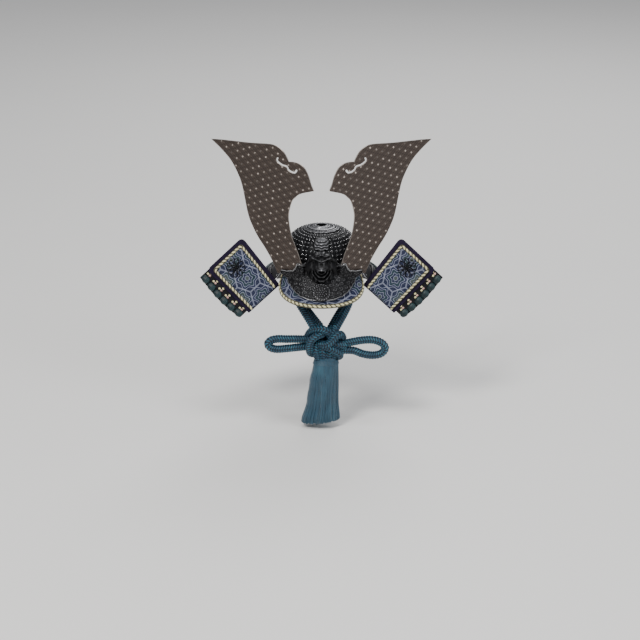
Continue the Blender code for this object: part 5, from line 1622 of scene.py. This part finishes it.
def make_stand():
    """Cast horn stand with its arabesque, rims and round crest."""
    def place(a, b, lift):
        angle, down = stand_spot(a, b)
        return stand_point(angle, down, lift)

    def raised(a, b):
        angle, down = stand_spot(a, b)
        low, high = stand_edges(angle)
        edge = min(down - high, low - down, (STAND_END_ANGLE - abs(angle)) * 0.7 * MM)
        border = 1.0 - ease((edge - 0.9 * MM) / (0.4 * MM))
        field = ease((edge - 1.6 * MM) / (0.6 * MM))
        level = radians(angle) * 41.0 * MM
        relief = max(border, field * scroll_relief(level, down))
        # The second value is the share of painted highlight: the border and the scroll tops are painted
        # pale.
        return SCROLL_RELIEF * relief, (0.9 if border > 0.5 else relief * 0.75)

    stand = plate("stand_casting", cast_finish("black_cast"), place, STAND_WALL, 300, 76, raised=raised,
        crease=70.0)
    settle(stand, "cast_metal", "horn_stand")
    rims = []
    for side in (1, -1):
        path = []
        for step in range(61):
            share = (28.0 + (60.5 - 28.0) * step / 60) / STAND_END_ANGLE
            angle, down = stand_spot(0.0, 0.5 + 0.5 * share)
            cusp = 0.9 * MM * abs(sin(pi * step / 20)) ** 0.7
            point = stand_point(angle, down - 0.2 * MM - cusp, STAND_WALL + 0.5 * MM)
            path.append(on_side(point, side))
        rims.append(threads("rim", [path], 0.48 * MM, wire_finish(), 10))
    settle(join("stand_rims", rims), "cast_metal")
    make_badge()


def make_badge():
    """Round crest: twisted rim, a flower and a cluster of small bosses."""
    lift = STAND_LIFT + STAND_WALL + SCROLL_RELIEF + GAP
    centre = brow_point(0.0, BADGE_DROP, lift)
    normal = brow_normal(0.0, BADGE_DROP)
    across = Vector((1.0, 0.0, 0.0))
    up = normal.cross(across)
    if up.z < 0.0:
        up.negate()
    curve = 0.5 / BOWL_HALF_WIDTH

    def outline(turn, share):
        return (BADGE_RADIUS * share * cos(turn), BADGE_RADIUS * share * sin(turn))

    def place(x, z, high):
        return centre + across * x + up * z + normal * (high - curve * x * x)

    def height(x, z, share):
        turn = atan2(z, x)
        rim = 1.15 * exp(-((share - 0.86) / 0.075) ** 2)
        twist = 0.62 + 0.38 * cos(20.0 * turn + 22.0 * (share - 0.9))
        inner_rim = 0.5 * exp(-((share - 0.74) / 0.025) ** 2)
        flower = 0.0
        if share < 0.72:
            for ring, number in ((0.0, 1), (0.25, 6), (0.50, 11)):
                for boss in range(number):
                    at = TURN * (boss + 0.5 * (number % 2)) / number
                    dx = share * cos(turn) - ring * cos(at)
                    dz = share * sin(turn) - ring * sin(at)
                    flower = max(flower, (1.0 - 0.4 * ring) * exp(-(dx * dx + dz * dz) / 0.0085))
        value = max(rim * twist, inner_rim, flower, 0.16)
        value *= ease((1.0 - share) / 0.035)
        # The second value is the share of painted highlight on the badge's heights.
        return BADGE_HEIGHT * min(1.0, value), min(1.0, 1.25 * value)

    badge = relief_piece("stand_crest", cast_finish("grey_cast"), outline, place, height, 90, 220)
    settle(badge, "cast_metal", "stand_badge")


def head_edge(turn, share):
    middle = 0.5 * (HEAD_TOP + HEAD_BOTTOM)
    half = 0.5 * (HEAD_TOP - HEAD_BOTTOM)
    level, upright = cos(turn), sin(turn)
    power = 2.0 / 2.3
    x = HEAD_HALF_WIDTH * copysign(abs(level) ** power, level)
    z = half * copysign(abs(upright) ** power, upright)
    x *= 1.0 - 0.30 * ease(upright)
    scallop = 1.0 + 0.045 * cos(11.0 * turn + pi) * share
    return x * scallop * share, middle + z * scallop * share


def spot_bump(x, z, at_x, at_z, wide, tall, height):
    away = ((x - at_x) / wide) ** 2 + ((z - at_z) / tall) ** 2
    return height * exp(-away) if away < 12.0 else 0.0


def head_relief(x, z, share):
    """Height of the beast's face above its back plane, and how pale it is painted there as highlight."""
    level = abs(x) / HEAD_HALF_WIDTH
    up = (z - HEAD_BOTTOM) / (HEAD_TOP - HEAD_BOTTOM)
    bumps = ((0.0, 0.46, 0.40, 0.24, 0.20), (0.14, 0.64, 0.10, 0.050, 0.14), (0.40, 0.665, 0.16, 0.040,
        -0.18), (0.43, 0.665, 0.075, 0.034, 0.30), (0.0, 0.60, 0.07, 0.030, -0.14),
        (0.0, 0.43, 0.13, 0.050, 0.26), (0.19, 0.405, 0.07, 0.034, 0.18), (0.10, 0.370, 0.045, 0.018,
        -0.20), (0.60, 0.50, 0.11, 0.10, 0.18))
    base = 0.50 + sum(spot_bump(level, up, *spot) for spot in bumps)
    reach = hypot(level, 1.55 * (0.47 - up))
    under = ease((0.42 - up) / 0.08) * ease((0.80 - level) / 0.12)
    for at, width, height in ((0.225, 0.030, -0.20), (0.30, 0.030, 0.10), (0.375, 0.030, -0.16),
            (0.45, 0.036, 0.20), (0.535, 0.030, -0.14), (0.62, 0.036, 0.22)):
        base += height * under * exp(-((reach - at) / width) ** 2)
    brow = up - 0.71 - 0.20 * level
    base += 0.24 * exp(-(brow / 0.030) ** 2) * ease((0.72 - level) / 0.1)
    for number in range(3):
        bow = 0.86 + 0.060 * number + 0.05 * level
        base += 0.14 * exp(-((up - bow) / 0.018) ** 2) * ease((0.62 - level) / 0.1)
    away = hypot(level * 1.05, (up - 0.50) * 1.6)
    mane = ease((away - 0.62) / 0.12) * ease((0.99 - share) / 0.02)
    swirl = atan2(up - 0.50, level)
    lock = abs(sin(7.0 * swirl + 6.0 * away))
    base += mane * (0.22 * lock ** 0.7 - 0.14)
    crumple = sin(19.0 * level + 9.0 * up) * sin(27.0 * up - 6.0 * level)
    base += 0.06 * crumple * (1.0 - mane)
    fall = 0.25 + 0.75 * ease((1.0 - share) / 0.07)
    # Painted highlight: paler on the heights, and paler still at the top as if lit from above.
    pale = (base - 0.46) * 1.5 + 0.2 * ease((up - 0.84) / 0.1)
    return HEAD_DEPTH * 0.95 * base * fall, min(1.0, max(0.0, pale))


def head_back(x, z):
    lift = STAND_LIFT + STAND_WALL + SCROLL_RELIEF + GAP
    lift /= 1.0 - (1.0 - sin(radians(VISOR_SLOPE))) * ease((2.0 * BROW_SOFTNESS - z) /
        (3.0 * BROW_SOFTNESS))
    across = x / (BOWL_HALF_WIDTH + lift)
    return -(BOWL_HALF_DEPTH + lift) * sqrt(1.0 - across ** 2) - (brow_ramp(-z) / tan(radians(VISOR_SLOPE)))


def make_head():
    """Beast's face on the brow, and the ridged plate above it."""
    def place(x, z, lift):
        return Vector((x, head_back(x, z) - lift, z))

    head = relief_piece("beast_face", cast_finish("face_cast"), head_edge, place, head_relief, 120, 260)
    settle(head, "cast_metal", "beast_head")

    def plate_spot(a, b):
        z = CREST_PLATE_FOOT + (CREST_PLATE_TOP - CREST_PLATE_FOOT) * a
        round_top = sqrt(1.0 - 0.75 * ease((a - 0.55) / 0.45) ** 2)
        width = 0.5 * CREST_PLATE_WIDTH * (0.84 + 0.16 * sin(pi * a)) * round_top
        return width * (2.0 * b - 1.0), z

    def seat(a, b, lift):
        x, z = plate_spot(a, b)
        return Vector((x, -bowl_front(x, z) - RIB_HEIGHT - GAP - FACET_ROOM - lift, z))

    def raised(a, b):
        across = abs(2.0 * b - 1.0)
        bow = 4.6 * (a - 0.20 * across ** 2 * (0.3 + a)) + 0.22 * sin(3.0 * pi * across + 5.0 * a) * (1.0 -
            a)
        ridge = abs(sin(pi * bow)) ** 0.7
        lobes = 0.68 + 0.32 * abs(cos(pi * across * (1.5 + floor(bow) % 2)))
        crown = sqrt(max(0.0, 1.0 - across ** 2))
        edge = ease(min(a, 1.0 - a, b, 1.0 - b) / 0.07)
        top = ease((a - 0.72) / 0.1)
        value = (0.15 + 0.85 * max(ridge * lobes, 0.8 * top) * (0.35 + 0.65 * crown)) * edge
        # The second value is the share of painted highlight on the plate's ridges and top.
        return CREST_PLATE_DEPTH * 0.8 * value, 0.68 * value

    plate_piece = plate("forehead_plate", cast_finish("grey_cast"), seat, 0.4 * MM, 80, 80, raised=raised,
        crease=70.0)
    settle(plate_piece, "grey_iron", "crest_plate")


def guard_spot(number, a, b):
    start, end = LAMES[number]
    return guard_angle(b), start + (end - start) * a


def make_guard():
    """Band, lacquered lames with their rims, rivets and laces."""
    first = VISOR_END_ANGLE + 2.5

    def band_place(a, b, lift):
        angle = first + (360.0 - 2.0 * first) * b
        point = rim_point(angle) + rim_normal(angle) * (BAND_FLARE * a - BAND_WALL + lift)
        point.z = -GAP - BAND_DROP * a
        return point

    band = plate("rim_band", clouded("black_lacquer"), band_place, BAND_WALL, 128, 6)
    settle(rounded(band, 0.3 * MM), "lacquer", "base_band")
    for number in range(3):
        def place(a, b, lift):
            angle, share = guard_spot(number, a, b)
            return guard_point(angle, share, number * LAME_STEP + lift)

        lame = plate("guard_lame_%d" % (number + 1), clouded("black_lacquer"), place, LAME_WALL, 144, 12)
        settle(rounded(lame, 0.35 * MM, 3), "lacquer", "lame_%d" % (number + 1))
    make_guard_trim()
    make_guard_laces()


def make_guard_trim():
    """Bright wire round the top of the first lame and the foot of the last, with rivets."""
    lines = [[guard_point(guard_angle(step / 120), 0.004, LAME_WALL) for step in range(121)],
        [guard_point(guard_angle(step / 120), 0.996, 2.0 * LAME_STEP + 0.5 * LAME_WALL) for step in
        range(121)],]
    for step, share in ((0.0, 0.0), (1.0, 1.0)):
        lines.append([guard_point(guard_angle(step), LAMES[0][1] * place / 20, LAME_WALL) for place in
            range(21)])
    settle(threads("guard_wire", lines, 0.55 * MM, wire_finish()), "grey_iron")
    marks = []
    for step in (0.02, 0.11, 0.22, 0.36, 0.5, 0.64, 0.78, 0.89, 0.98):
        angle = guard_angle(step)
        for share in (0.06, 0.20):
            marks.append((guard_point(angle, share, LAME_WALL), guard_normal(angle, share),
                Vector((0.0, 0.0, 1.0)), 1.0))
    stud = dome_stud(12)
    rivets = place_on("guard_rivets", marks, stud, 1.1 * MM, 1.1 * MM, 0.7 * MM, clouded("stud_heads"))
    drop(stud)
    settle(rivets, "grey_iron")


def lace_piece():
    """Flat silk lace one unit long and wide, in slanting stitches like a plait."""
    rows, columns = 20, 6
    vertices, heights = [], []
    for layer in (1, 0):
        for row in range(rows + 1):
            v = row / rows
            end = sin(pi * min(1.0, max(0.0, min(v, 1.0 - v) / 0.08)) * 0.5)
            for column in range(columns + 1):
                u = 2.0 * column / columns - 1.0
                dome = sqrt(max(0.0, 1.0 - (0.92 * u) ** 2))
                stitch = abs(sin(pi * (5.0 * v + 0.5 * abs(u))))
                high = layer * (0.15 + 0.85 * dome * (0.70 + 0.30 * stitch)) * (0.35 + 0.65 * end)
                vertices.append(Vector((0.5 * u, v - 0.5, high)))
                heights.append(0.25 + 0.75 * stitch * dome)
    count = (rows + 1) * (columns + 1)
    faces = grid_faces(rows + 1, columns + 1, 0) + grid_faces(rows + 1, columns + 1, count)
    faces += walls(border(rows + 1, columns + 1, 0), count)
    return closed_mesh("small_lace", vertices, faces, None, heights=heights, crease=75.0)


def cross_knot(arm=1):
    """One arm of a cross stitch, one unit wide: two round lobes that leave the middle dark."""
    work = bmesh.new()
    for end in (-1.0, 1.0) if arm > 0 else (1.0,):
        added = bmesh.ops.create_uvsphere(work, u_segments=10, v_segments=7, radius=0.245)
        for vertex in added["verts"]:
            vertex.co.x = vertex.co.x * 1.1 + 0.27 * arm * end
            vertex.co.y += 0.27 * end
            vertex.co.z = vertex.co.z * 0.9 + 0.16
    mesh = bpy.data.meshes.new("small_knot")
    work.to_mesh(mesh)
    work.free()
    mesh.shade_smooth()
    mesh.materials.append(None)
    return link_object("small_knot", mesh)


def cross_knots(name, marks, size, finishes):
    """Rows of crossed stitches, one arm of each in either thread."""
    arms = []
    for arm, finish in zip((1, -1), finishes):
        source = cross_knot(arm)
        arms.append(place_on("arm", marks, source, size, size, size, finish))
        drop(source)
    return join(name, arms)


def make_guard_laces():
    """Close rows of laces over the lower lames, and a row of cross stitches at the foot."""
    lace = lace_piece()
    for number, (top, low), count in ((1, (0.392, 0.612), 84), (2, (0.712, 0.932), 96)):
        marks = []
        for step in range(4, count - 4):
            angle = guard_angle((step + 0.5) / count)
            share = 0.5 * (top + low)
            lift = number * LAME_STEP + LAME_WALL + 0.1 * MM
            here = guard_point(angle, share, lift)
            down = (guard_point(angle, low, lift) - guard_point(angle, top, lift))
            marks.append((here, guard_normal(angle, share), down.normalized(), 1.0))
        length = (guard_point(90.0, low, 0.0) - guard_point(90.0, top, 0.0)).length
        laces = place_on("guard_laces_%d" % (number + 1), marks, lace, 2.75 * MM, length, 1.7 * MM,
            lace_silk())
        settle(laces, "teal_silk", "lacing_%d" % (number + 1))
    drop(lace)
    marks = []
    for step in range(40):
        angle = guard_angle((step + 0.5) / 40)
        here = guard_point(angle, 0.962, 2.0 * LAME_STEP + LAME_WALL)
        down = guard_point(angle, 0.99, 0.0) - guard_point(angle, 0.93, 0.0)
        marks.append((here, guard_normal(angle, 0.962), down.normalized(), 1.0))
    knots = cross_knots("guard_stitches", marks, 3.2 * MM, (clouded("cream_thread"),
        clouded("pink_thread")))
    settle(knots, "cream_braid")


def panel_edges():
    width = flap_width()
    half = 0.5 * FLAP_BRAID_DIAMETER
    inner = (FLAP_MARGIN_INNER + half) / width
    outer = 1.0 - (FLAP_MARGIN_OUTER + half) / width
    end = 1.0 - (FLAP_MARGIN_END + half) / FLAP_LENGTH
    return inner, outer, end


def make_flaps():
    """Leather flap with its brocade panel, twisted braid and openwork flower, on each side."""
    inner, outer, end = panel_edges()
    width = flap_width()
    inset = 0.5 * FLAP_BRAID_DIAMETER
    low, high = inner + inset / width, outer - inset / width
    last = end - inset / FLAP_LENGTH
    seat = 0.5 * FLAP_WALL + GAP + FACET_ROOM
    setup = bpy.context.scene.kabuto_sizes

    def flap_place(a, b, lift):
        corner = max(0.0, 1.0 - min(b, 1.0 - b) * width / FLAP_CORNER)
        less = FLAP_CORNER * (1.0 - sqrt(1.0 - corner ** 2)) / FLAP_LENGTH
        return flap_point(-FLAP_BEND + (1.0 + FLAP_BEND - less) * a, b, lift - 0.5 * FLAP_WALL)

    def panel_place(a, b, lift):
        along = 0.02 + (last - 0.02) * a
        across = low + (high - low) * b
        edge = min(a * FLAP_LENGTH, (1.0 - a) * FLAP_LENGTH, b * width, (1.0 - b) * width)
        soft = 0.55 + 0.45 * ease(edge / (2.4 * MM))
        return flap_point(along, across, seat - 0.3 * MM + (lift + 0.3 * MM) * soft)

    def panel_spot(a, b):
        return (a * FLAP_LENGTH * 100.0 * 0.9 + 1.05, b * width * 75.0 + 0.62)

    for side in (1, -1):
        flap = plate(side_name("flap_leather", side), leather_finish(), flap_place, FLAP_WALL, 72, 60, side)
        settle(rounded(flap, 0.5 * MM, 3), "flap_leather", side_name("flap", side))
        panel = plate(side_name("flap_cloth", side), brocade_finish(), panel_place, PANEL_WALL, 48, 64,
            side, spot=panel_spot, crease=60.0)
        settle(panel, "brocade", side_name("flap_panel", side))
        path, inside, outside = ([on_side(point, side) for point in flap_braid_path(inset)] for inset in
            (0.0, 1.25 * MM, -1.25 * MM))
        twisted = rope("twisted", [path], 0.48 * FLAP_BRAID_DIAMETER, setup.rope_pitch * 0.92,
            (clouded("cream_thread"), clouded("olive_thread")))
        braid = join(side_name("flap_rope", side), [twisted, threads("piping", [inside, outside], 0.45 * MM,
            clouded("olive_thread"))])
        settle(braid, "cream_braid", side_name("flap_braid", side))
        make_flower(side)


def flap_braid_path(inset=0.0):
    """Line of the braid along three edges of the flap, or a line beside it."""
    inner, outer, end = panel_edges()
    width = flap_width()
    lift = 0.5 * (FLAP_WALL + FLAP_BRAID_DIAMETER) + 0.2 * MM - 0.5 * abs(inset)
    inner, outer = inner + inset / width, outer - inset / width
    end = end - inset / FLAP_LENGTH
    bend_along, bend_across = 3.0 * MM / FLAP_LENGTH, 3.0 * MM / width
    spots = [(0.03 + (end - bend_along - 0.03) * step / 30, inner) for step in range(31)]
    turns = [0.5 * pi * step / 8 for step in range(1, 8)]
    spots += [(end - bend_along * (1.0 - sin(turn)), inner + bend_across * (1.0 - cos(turn))) for turn in
        turns]
    spots += [(end, inner + bend_across + (outer - inner - 2.0 * bend_across) * step / 18) for step in
        range(19)]
    spots += [(end - bend_along * (1.0 - cos(turn)), outer - bend_across * (1.0 - sin(turn))) for turn in
        turns]
    spots += [(end - bend_along - (end - bend_along - 0.03) * step / 30, outer) for step in range(31)]
    return [flap_point(along, across, lift) for along, across in spots]


def petal_loop():
    """Open petal one unit long from its root, as a thin rim."""
    path = []
    for step in range(28):
        turn = TURN * step / 28
        reach = 0.5 - 0.5 * cos(turn)
        path.append(Vector((0.36 * sin(turn) * (0.35 + 0.65 * reach), reach, 0.06)))
    vertices, faces = soft_tube(path, 0.05, 6, closed=True)
    return closed_mesh("small_petal", vertices, faces, None)


def make_flower(side):
    """Openwork flower crest: two rings of petals, small arcs between them and a raised heart."""
    lift = 0.5 * FLAP_WALL + GAP + FACET_ROOM + PANEL_WALL
    centre = flap_point(FLOWER_ALONG, FLOWER_ACROSS, lift)
    normal = flap_normal(FLOWER_ALONG, FLOWER_ACROSS)
    upward = (flap_base(FLOWER_ALONG + 0.05, FLOWER_ACROSS) - flap_base(FLOWER_ALONG,
        FLOWER_ACROSS)).normalized()
    level = upward.cross(normal).normalized()
    petal, stud = petal_loop(), dome_stud(16)
    parts = []
    for count, start, radius, length, raise_by in ((8, 0.0, 0.30, 0.90, 0.0), (8, 0.5, 0.22, 0.50, 0.35),
            (8, 0.5, 0.72, 0.50, 0.1)):
        marks = []
        for number in range(count):
            turn = TURN * (number + start) / count
            ray = level * cos(turn) + upward * sin(turn)
            here = centre + ray * (FLOWER_RADIUS * radius) + normal * (raise_by * MM)
            marks.append((on_side(here, side), on_side(normal, side), on_side(ray, side), length))
        parts.append(place_on("petals", marks, petal, FLOWER_RADIUS, FLOWER_RADIUS, FLOWER_RADIUS,
            cast_finish("black_cast")))
    marks = [(on_side(centre, side), on_side(normal, side), on_side(upward, side), 1.0)]
    parts.append(place_on("heart", marks, stud, 1.7 * MM, 1.7 * MM, 1.7 * MM, cast_finish("black_cast")))
    drop(petal)
    drop(stud)
    flower = join(side_name("flap_crest", side), parts)
    settle(flower, "cast_metal", side_name("flap_flower", side))


def lace_puff():
    """Fat laces side by side, drawn over an edge: three lobes one unit long."""
    rows, columns = 18, 24
    vertices, heights = [], []
    for row in range(rows + 1):
        v = row / rows
        end = sqrt(max(0.0, 1.0 - (2.0 * v - 1.0) ** 2 * 0.97))
        for column in range(columns):
            turn = TURN * column / columns
            lobe = abs(cos(1.5 * turn))
            stitch = abs(sin(pi * (5.5 * v + 0.6 * lobe)))
            reach = end * (0.84 + 0.10 * lobe + 0.06 * stitch)
            vertices.append(Vector((0.5 * reach * cos(turn), v - 0.5, 0.42 + 0.5 * reach * sin(turn))))
            heights.append(0.2 + 0.8 * stitch * (0.4 + 0.6 * lobe))
    faces = grid_faces(rows + 1, columns, 0, wrap=True)
    faces += end_faces(columns, rows * columns)
    return closed_mesh("small_puff", vertices, faces, None, heights=heights, crease=75.0)


def make_flap_edges():
    """Second lame of each flap with its fat laces and crossed stitches."""
    under = -0.5 * FLAP_WALL - GAP - FACET_ROOM

    def place(a, b, lift):
        along = 0.03 + 0.96 * a
        reach = -EDGE_LAP + (edge_reach(along) + EDGE_LAP) * b
        return flap_point(along, edge_share(reach), under - EDGE_PLATE_WALL + lift)

    def edge_marks(start, back, side):
        """A mark for each lace, set back from the outer edge."""
        marks = []
        for number in range(EDGE_LACE_COUNT):
            along = start + 0.91 * (number + 0.5) / EDGE_LACE_COUNT
            across = edge_share(edge_reach(along) - back)
            ray = (flap_base(along, across + 0.05) - flap_base(along, across - 0.05)).normalized()
            mark = (flap_point(along, across, under), flap_normal(along, across), ray)
            marks.append((*(on_side(part, side) for part in mark), 1.0))
        return marks

    puff = lace_puff()
    for side in (1, -1):
        lame = plate(side_name("edge_lame", side), clouded("black_lacquer"), place, EDGE_PLATE_WALL, 20, 60,
            side)
        settle(rounded(lame, 0.35 * MM, 3), "lacquer", side_name("edge_plate", side))
        marks = edge_marks(0.06, 0.5 * EDGE_LACE_WIDTH - 0.4 * MM, side)
        laces = place_on(side_name("edge_laces", side), marks, puff, 10.2 * MM, EDGE_LACE_WIDTH * 1.05,
            6.0 * MM, lace_silk())
        settle(laces, "teal_silk", side_name("edge_lacing", side))
        stitches = edge_marks(0.085, EDGE_LACE_WIDTH + 2.3 * MM, side)
        knots = cross_knots(side_name("edge_stitches", side), stitches, 5.0 * MM,
            (clouded("cream_thread"), clouded("pink_thread")))
        settle(knots, "cream_braid")
    drop(puff)


def make_stage():
    """Pale floor and soft lights."""
    size = 9.0
    mesh = bpy.data.meshes.new("floor")
    floor_z = CAD_BOX[0][2] - 0.004
    mesh.from_pydata([(-size, -size, floor_z), (size, -size, floor_z), (size, size, floor_z),
        (-size, size, floor_z)], [], [(0, 1, 2, 3)])
    colour = chosen("floor")
    tree = FinishTree("pale_floor", 0.7)
    cloud = tree.noise(tree.point(), 3.0, 2.0)
    tree.tint(cloud, colour, 0.97, 1.0)
    mesh.materials.append(tree.material)
    link_object("floor", mesh)
    for name, place, size, power, tint in (("key_light", (-0.9, -1.5, 1.7), 0.6, 40.0, (1.0, 0.985, 0.96)),
            ("fill_light", (1.5, -1.3, 0.9), 1.0, 16.0, (0.95, 0.975, 1.0)), ("top_light",
            (0.15, -0.5, 1.9), 0.7, 15.0, (1.0, 1.0, 1.0)), ("back_light", (0.4, 1.6, 1.3), 1.0, 16.0,
            (1.0, 1.0, 1.0))):
        data = bpy.data.lights.new(name, "AREA")
        data.energy = power
        data.size = size
        data.color = tint
        light = link_object(name, data)
        light.location = place
        light.rotation_euler = (Vector((0.0, 0.0, -0.02)) - Vector(place)).to_track_quat("-Z",
            "Y").to_euler()
    world = bpy.data.worlds.new("soft_room")
    world.use_nodes = True
    background = world.node_tree.nodes["Background"]
    background.inputs["Color"].default_value = (0.93, 0.95, 1.0, 1.0)
    background.inputs["Strength"].default_value = 0.38
    bpy.context.scene.world = world


# ---- Add-on --------------------------------------------------------------------------------

def colour_choice(name, description, default):
    return FloatVectorProperty(name=name, description=description, default=default, size=3, min=0.0,
        max=1.0, subtype="COLOR")


def length_choice(name, description, default, low, high):
    return FloatProperty(name=name, description=description, default=default, min=low, max=high,
        unit="LENGTH", precision=5)


class KabutoColours(bpy.types.PropertyGroup):
    """Colours of the helmet's finishes."""
    iron: colour_choice("Bowl iron", "Black iron of the bowl", (0.006, 0.006, 0.007))
    stud: colour_choice("Stud heads", "Metal of the studs", (0.17, 0.17, 0.175))
    horn: colour_choice("Horn plate", "Grey-brown plate of the horns", (0.058, 0.044, 0.037))
    horn_dot: colour_choice("Horn dots", "Raised dots of the horns", (0.34, 0.30, 0.27))
    lacquer: colour_choice("Lacquer", "Black lacquer of the lames", (0.008, 0.007, 0.009))
    leather: colour_choice("Leather", "Dyed leather of the flaps", (0.009, 0.005, 0.020))
    teal: colour_choice("Cord silk", "Silk of the cord and the laces", (0.005, 0.034, 0.068))
    tassel: colour_choice("Tassel silk", "Silk threads of the tassel", (0.008, 0.055, 0.095))
    cream: colour_choice("Cream thread", "Pale thread of the braids", (0.74, 0.68, 0.38))
    olive: colour_choice("Olive thread", "Dark thread of the braids", (0.050, 0.044, 0.012))
    pink: colour_choice("Pink thread", "Second thread of the stitches", (0.62, 0.38, 0.32))
    brocade_blue: colour_choice("Brocade blue", "Ground of the brocade", (0.008, 0.014, 0.050))
    brocade_teal: colour_choice("Brocade teal", "Second ground", (0.008, 0.028, 0.038))
    brocade_grey: colour_choice("Brocade grey", "Grey-green of the brocade", (0.052, 0.070, 0.060))
    lavender: colour_choice("Brocade outline", "Pale outlines", (0.29, 0.31, 0.40))
    floor: colour_choice("Floor", "Pale floor", (0.80, 0.79, 0.77))


class KabutoSizes(bpy.types.PropertyGroup):
    """Sizes that change how the helmet is dressed and seen."""
    stud_radius: length_choice("Stud radius", "Radius of a stud of the bowl", 1.3 * MM, 0.3 * MM, 1.6 * MM)
    stud_spacing: length_choice("Stud spacing", "Distance up between studs", 4.3 * MM, 2.0 * MM, 12.0 * MM)
    rope_pitch: length_choice("Braid pitch", "Length of one twist of a braid", 4.8 * MM, 3.0 * MM,
        15.0 * MM)
    lens: FloatProperty(name="Lens", description="Focal length in millimetres", default=138.2, min=20.0,
        max=400.0, unit="CAMERA")
    camera_distance: FloatProperty(name="Camera distance", description="From the camera to the bowl's rim",
        default=2.55, min=0.5, max=10.0, unit="LENGTH")


class Step:
    """Runs the function that makes an operator's pieces."""

    def execute(self, context):
        type(self).work()
        return {"FINISHED"}


class KABUTO_OT_camera(Step, bpy.types.Operator):
    """Set the camera at the photograph's viewing angle"""
    bl_idname = "kabuto.camera"
    bl_label = "Camera"
    work = staticmethod(make_camera)


class KABUTO_OT_cords(Step, bpy.types.Operator):
    """Make the braided chin cord with its knot, loops and tassel"""
    bl_idname = "kabuto.cords"
    bl_label = "Chin cord and tassel"
    work = staticmethod(make_cords)


class KABUTO_OT_rings(Step, bpy.types.Operator):
    """Make the wire rings that carry the cord"""
    bl_idname = "kabuto.rings"
    bl_label = "Cord rings"
    work = staticmethod(make_rings)


class KABUTO_OT_bowl(Step, bpy.types.Operator):
    """Make the ribbed bowl and its studs"""
    bl_idname = "kabuto.bowl"
    bl_label = "Bowl"
    work = staticmethod(make_bowl)


class KABUTO_OT_crown(Step, bpy.types.Operator):
    """Make the stepped rosette at the crown"""
    bl_idname = "kabuto.crown"
    bl_label = "Crown rosette"
    work = staticmethod(make_crown)


class KABUTO_OT_visor(Step, bpy.types.Operator):
    """Make the brocade visor and its braid"""
    bl_idname = "kabuto.visor"
    bl_label = "Visor"
    work = staticmethod(make_visor)


class KABUTO_OT_horns(Step, bpy.types.Operator):
    """Make the two pierced horns and their dots"""
    bl_idname = "kabuto.horns"
    bl_label = "Horns"
    work = staticmethod(make_horns)


class KABUTO_OT_stand(Step, bpy.types.Operator):
    """Make the cast horn stand and its round crest"""
    bl_idname = "kabuto.stand"
    bl_label = "Horn stand"
    work = staticmethod(make_stand)


class KABUTO_OT_head(Step, bpy.types.Operator):
    """Make the beast's face and the plate above it"""
    bl_idname = "kabuto.head"
    bl_label = "Beast's face"
    work = staticmethod(make_head)


class KABUTO_OT_guard(Step, bpy.types.Operator):
    """Make the neck guard with its band, lames and laces"""
    bl_idname = "kabuto.guard"
    bl_label = "Neck guard"
    work = staticmethod(make_guard)


class KABUTO_OT_flaps(Step, bpy.types.Operator):
    """Make the turned-back flaps with brocade, braid and flower crest"""
    bl_idname = "kabuto.flaps"
    bl_label = "Flaps"
    work = staticmethod(make_flaps)


class KABUTO_OT_flap_edges(Step, bpy.types.Operator):
    """Make the laced outer lame of each flap"""
    bl_idname = "kabuto.flap_edges"
    bl_label = "Flap edges"
    work = staticmethod(make_flap_edges)


class KABUTO_OT_stage(Step, bpy.types.Operator):
    """Set up the pale floor and the soft lights"""
    bl_idname = "kabuto.stage"
    bl_label = "Floor and lights"
    work = staticmethod(make_stage)


STEPS = (KABUTO_OT_camera, KABUTO_OT_cords, KABUTO_OT_rings, KABUTO_OT_bowl, KABUTO_OT_crown,
    KABUTO_OT_visor, KABUTO_OT_horns, KABUTO_OT_stand, KABUTO_OT_head, KABUTO_OT_guard, KABUTO_OT_flaps,
    KABUTO_OT_flap_edges, KABUTO_OT_stage)


class KABUTO_PT_sidebar(bpy.types.Panel):
    """Lists the steps that make the helmet, with its sizes and colours"""
    bl_idname = "KABUTO_PT_sidebar"
    bl_label = "Miniature kabuto"
    bl_space_type = "VIEW_3D"
    bl_region_type = "UI"
    bl_category = "Kabuto"

    def draw(self, context):
        for step in STEPS:
            self.layout.operator(step.bl_idname)
        for group in (context.scene.kabuto_sizes, context.scene.kabuto_colours):
            box = self.layout.box()
            for key in group.__annotations__:
                box.prop(group, key)


CLASSES = (KabutoColours, KabutoSizes) + STEPS + (KABUTO_PT_sidebar,)


def register():
    for item in CLASSES:
        bpy.utils.register_class(item)
    bpy.types.Scene.kabuto_sizes = PointerProperty(type=KabutoSizes)
    bpy.types.Scene.kabuto_colours = PointerProperty(type=KabutoColours)


def unregister():
    del bpy.types.Scene.kabuto_sizes
    del bpy.types.Scene.kabuto_colours
    for item in reversed(CLASSES):
        bpy.utils.unregister_class(item)


def main():
    """Makes every piece in order."""
    register()
    for step in STEPS:
        group, name = step.bl_idname.split(".")
        getattr(getattr(bpy.ops, group), name)()


if __name__ == "__main__":
    main()
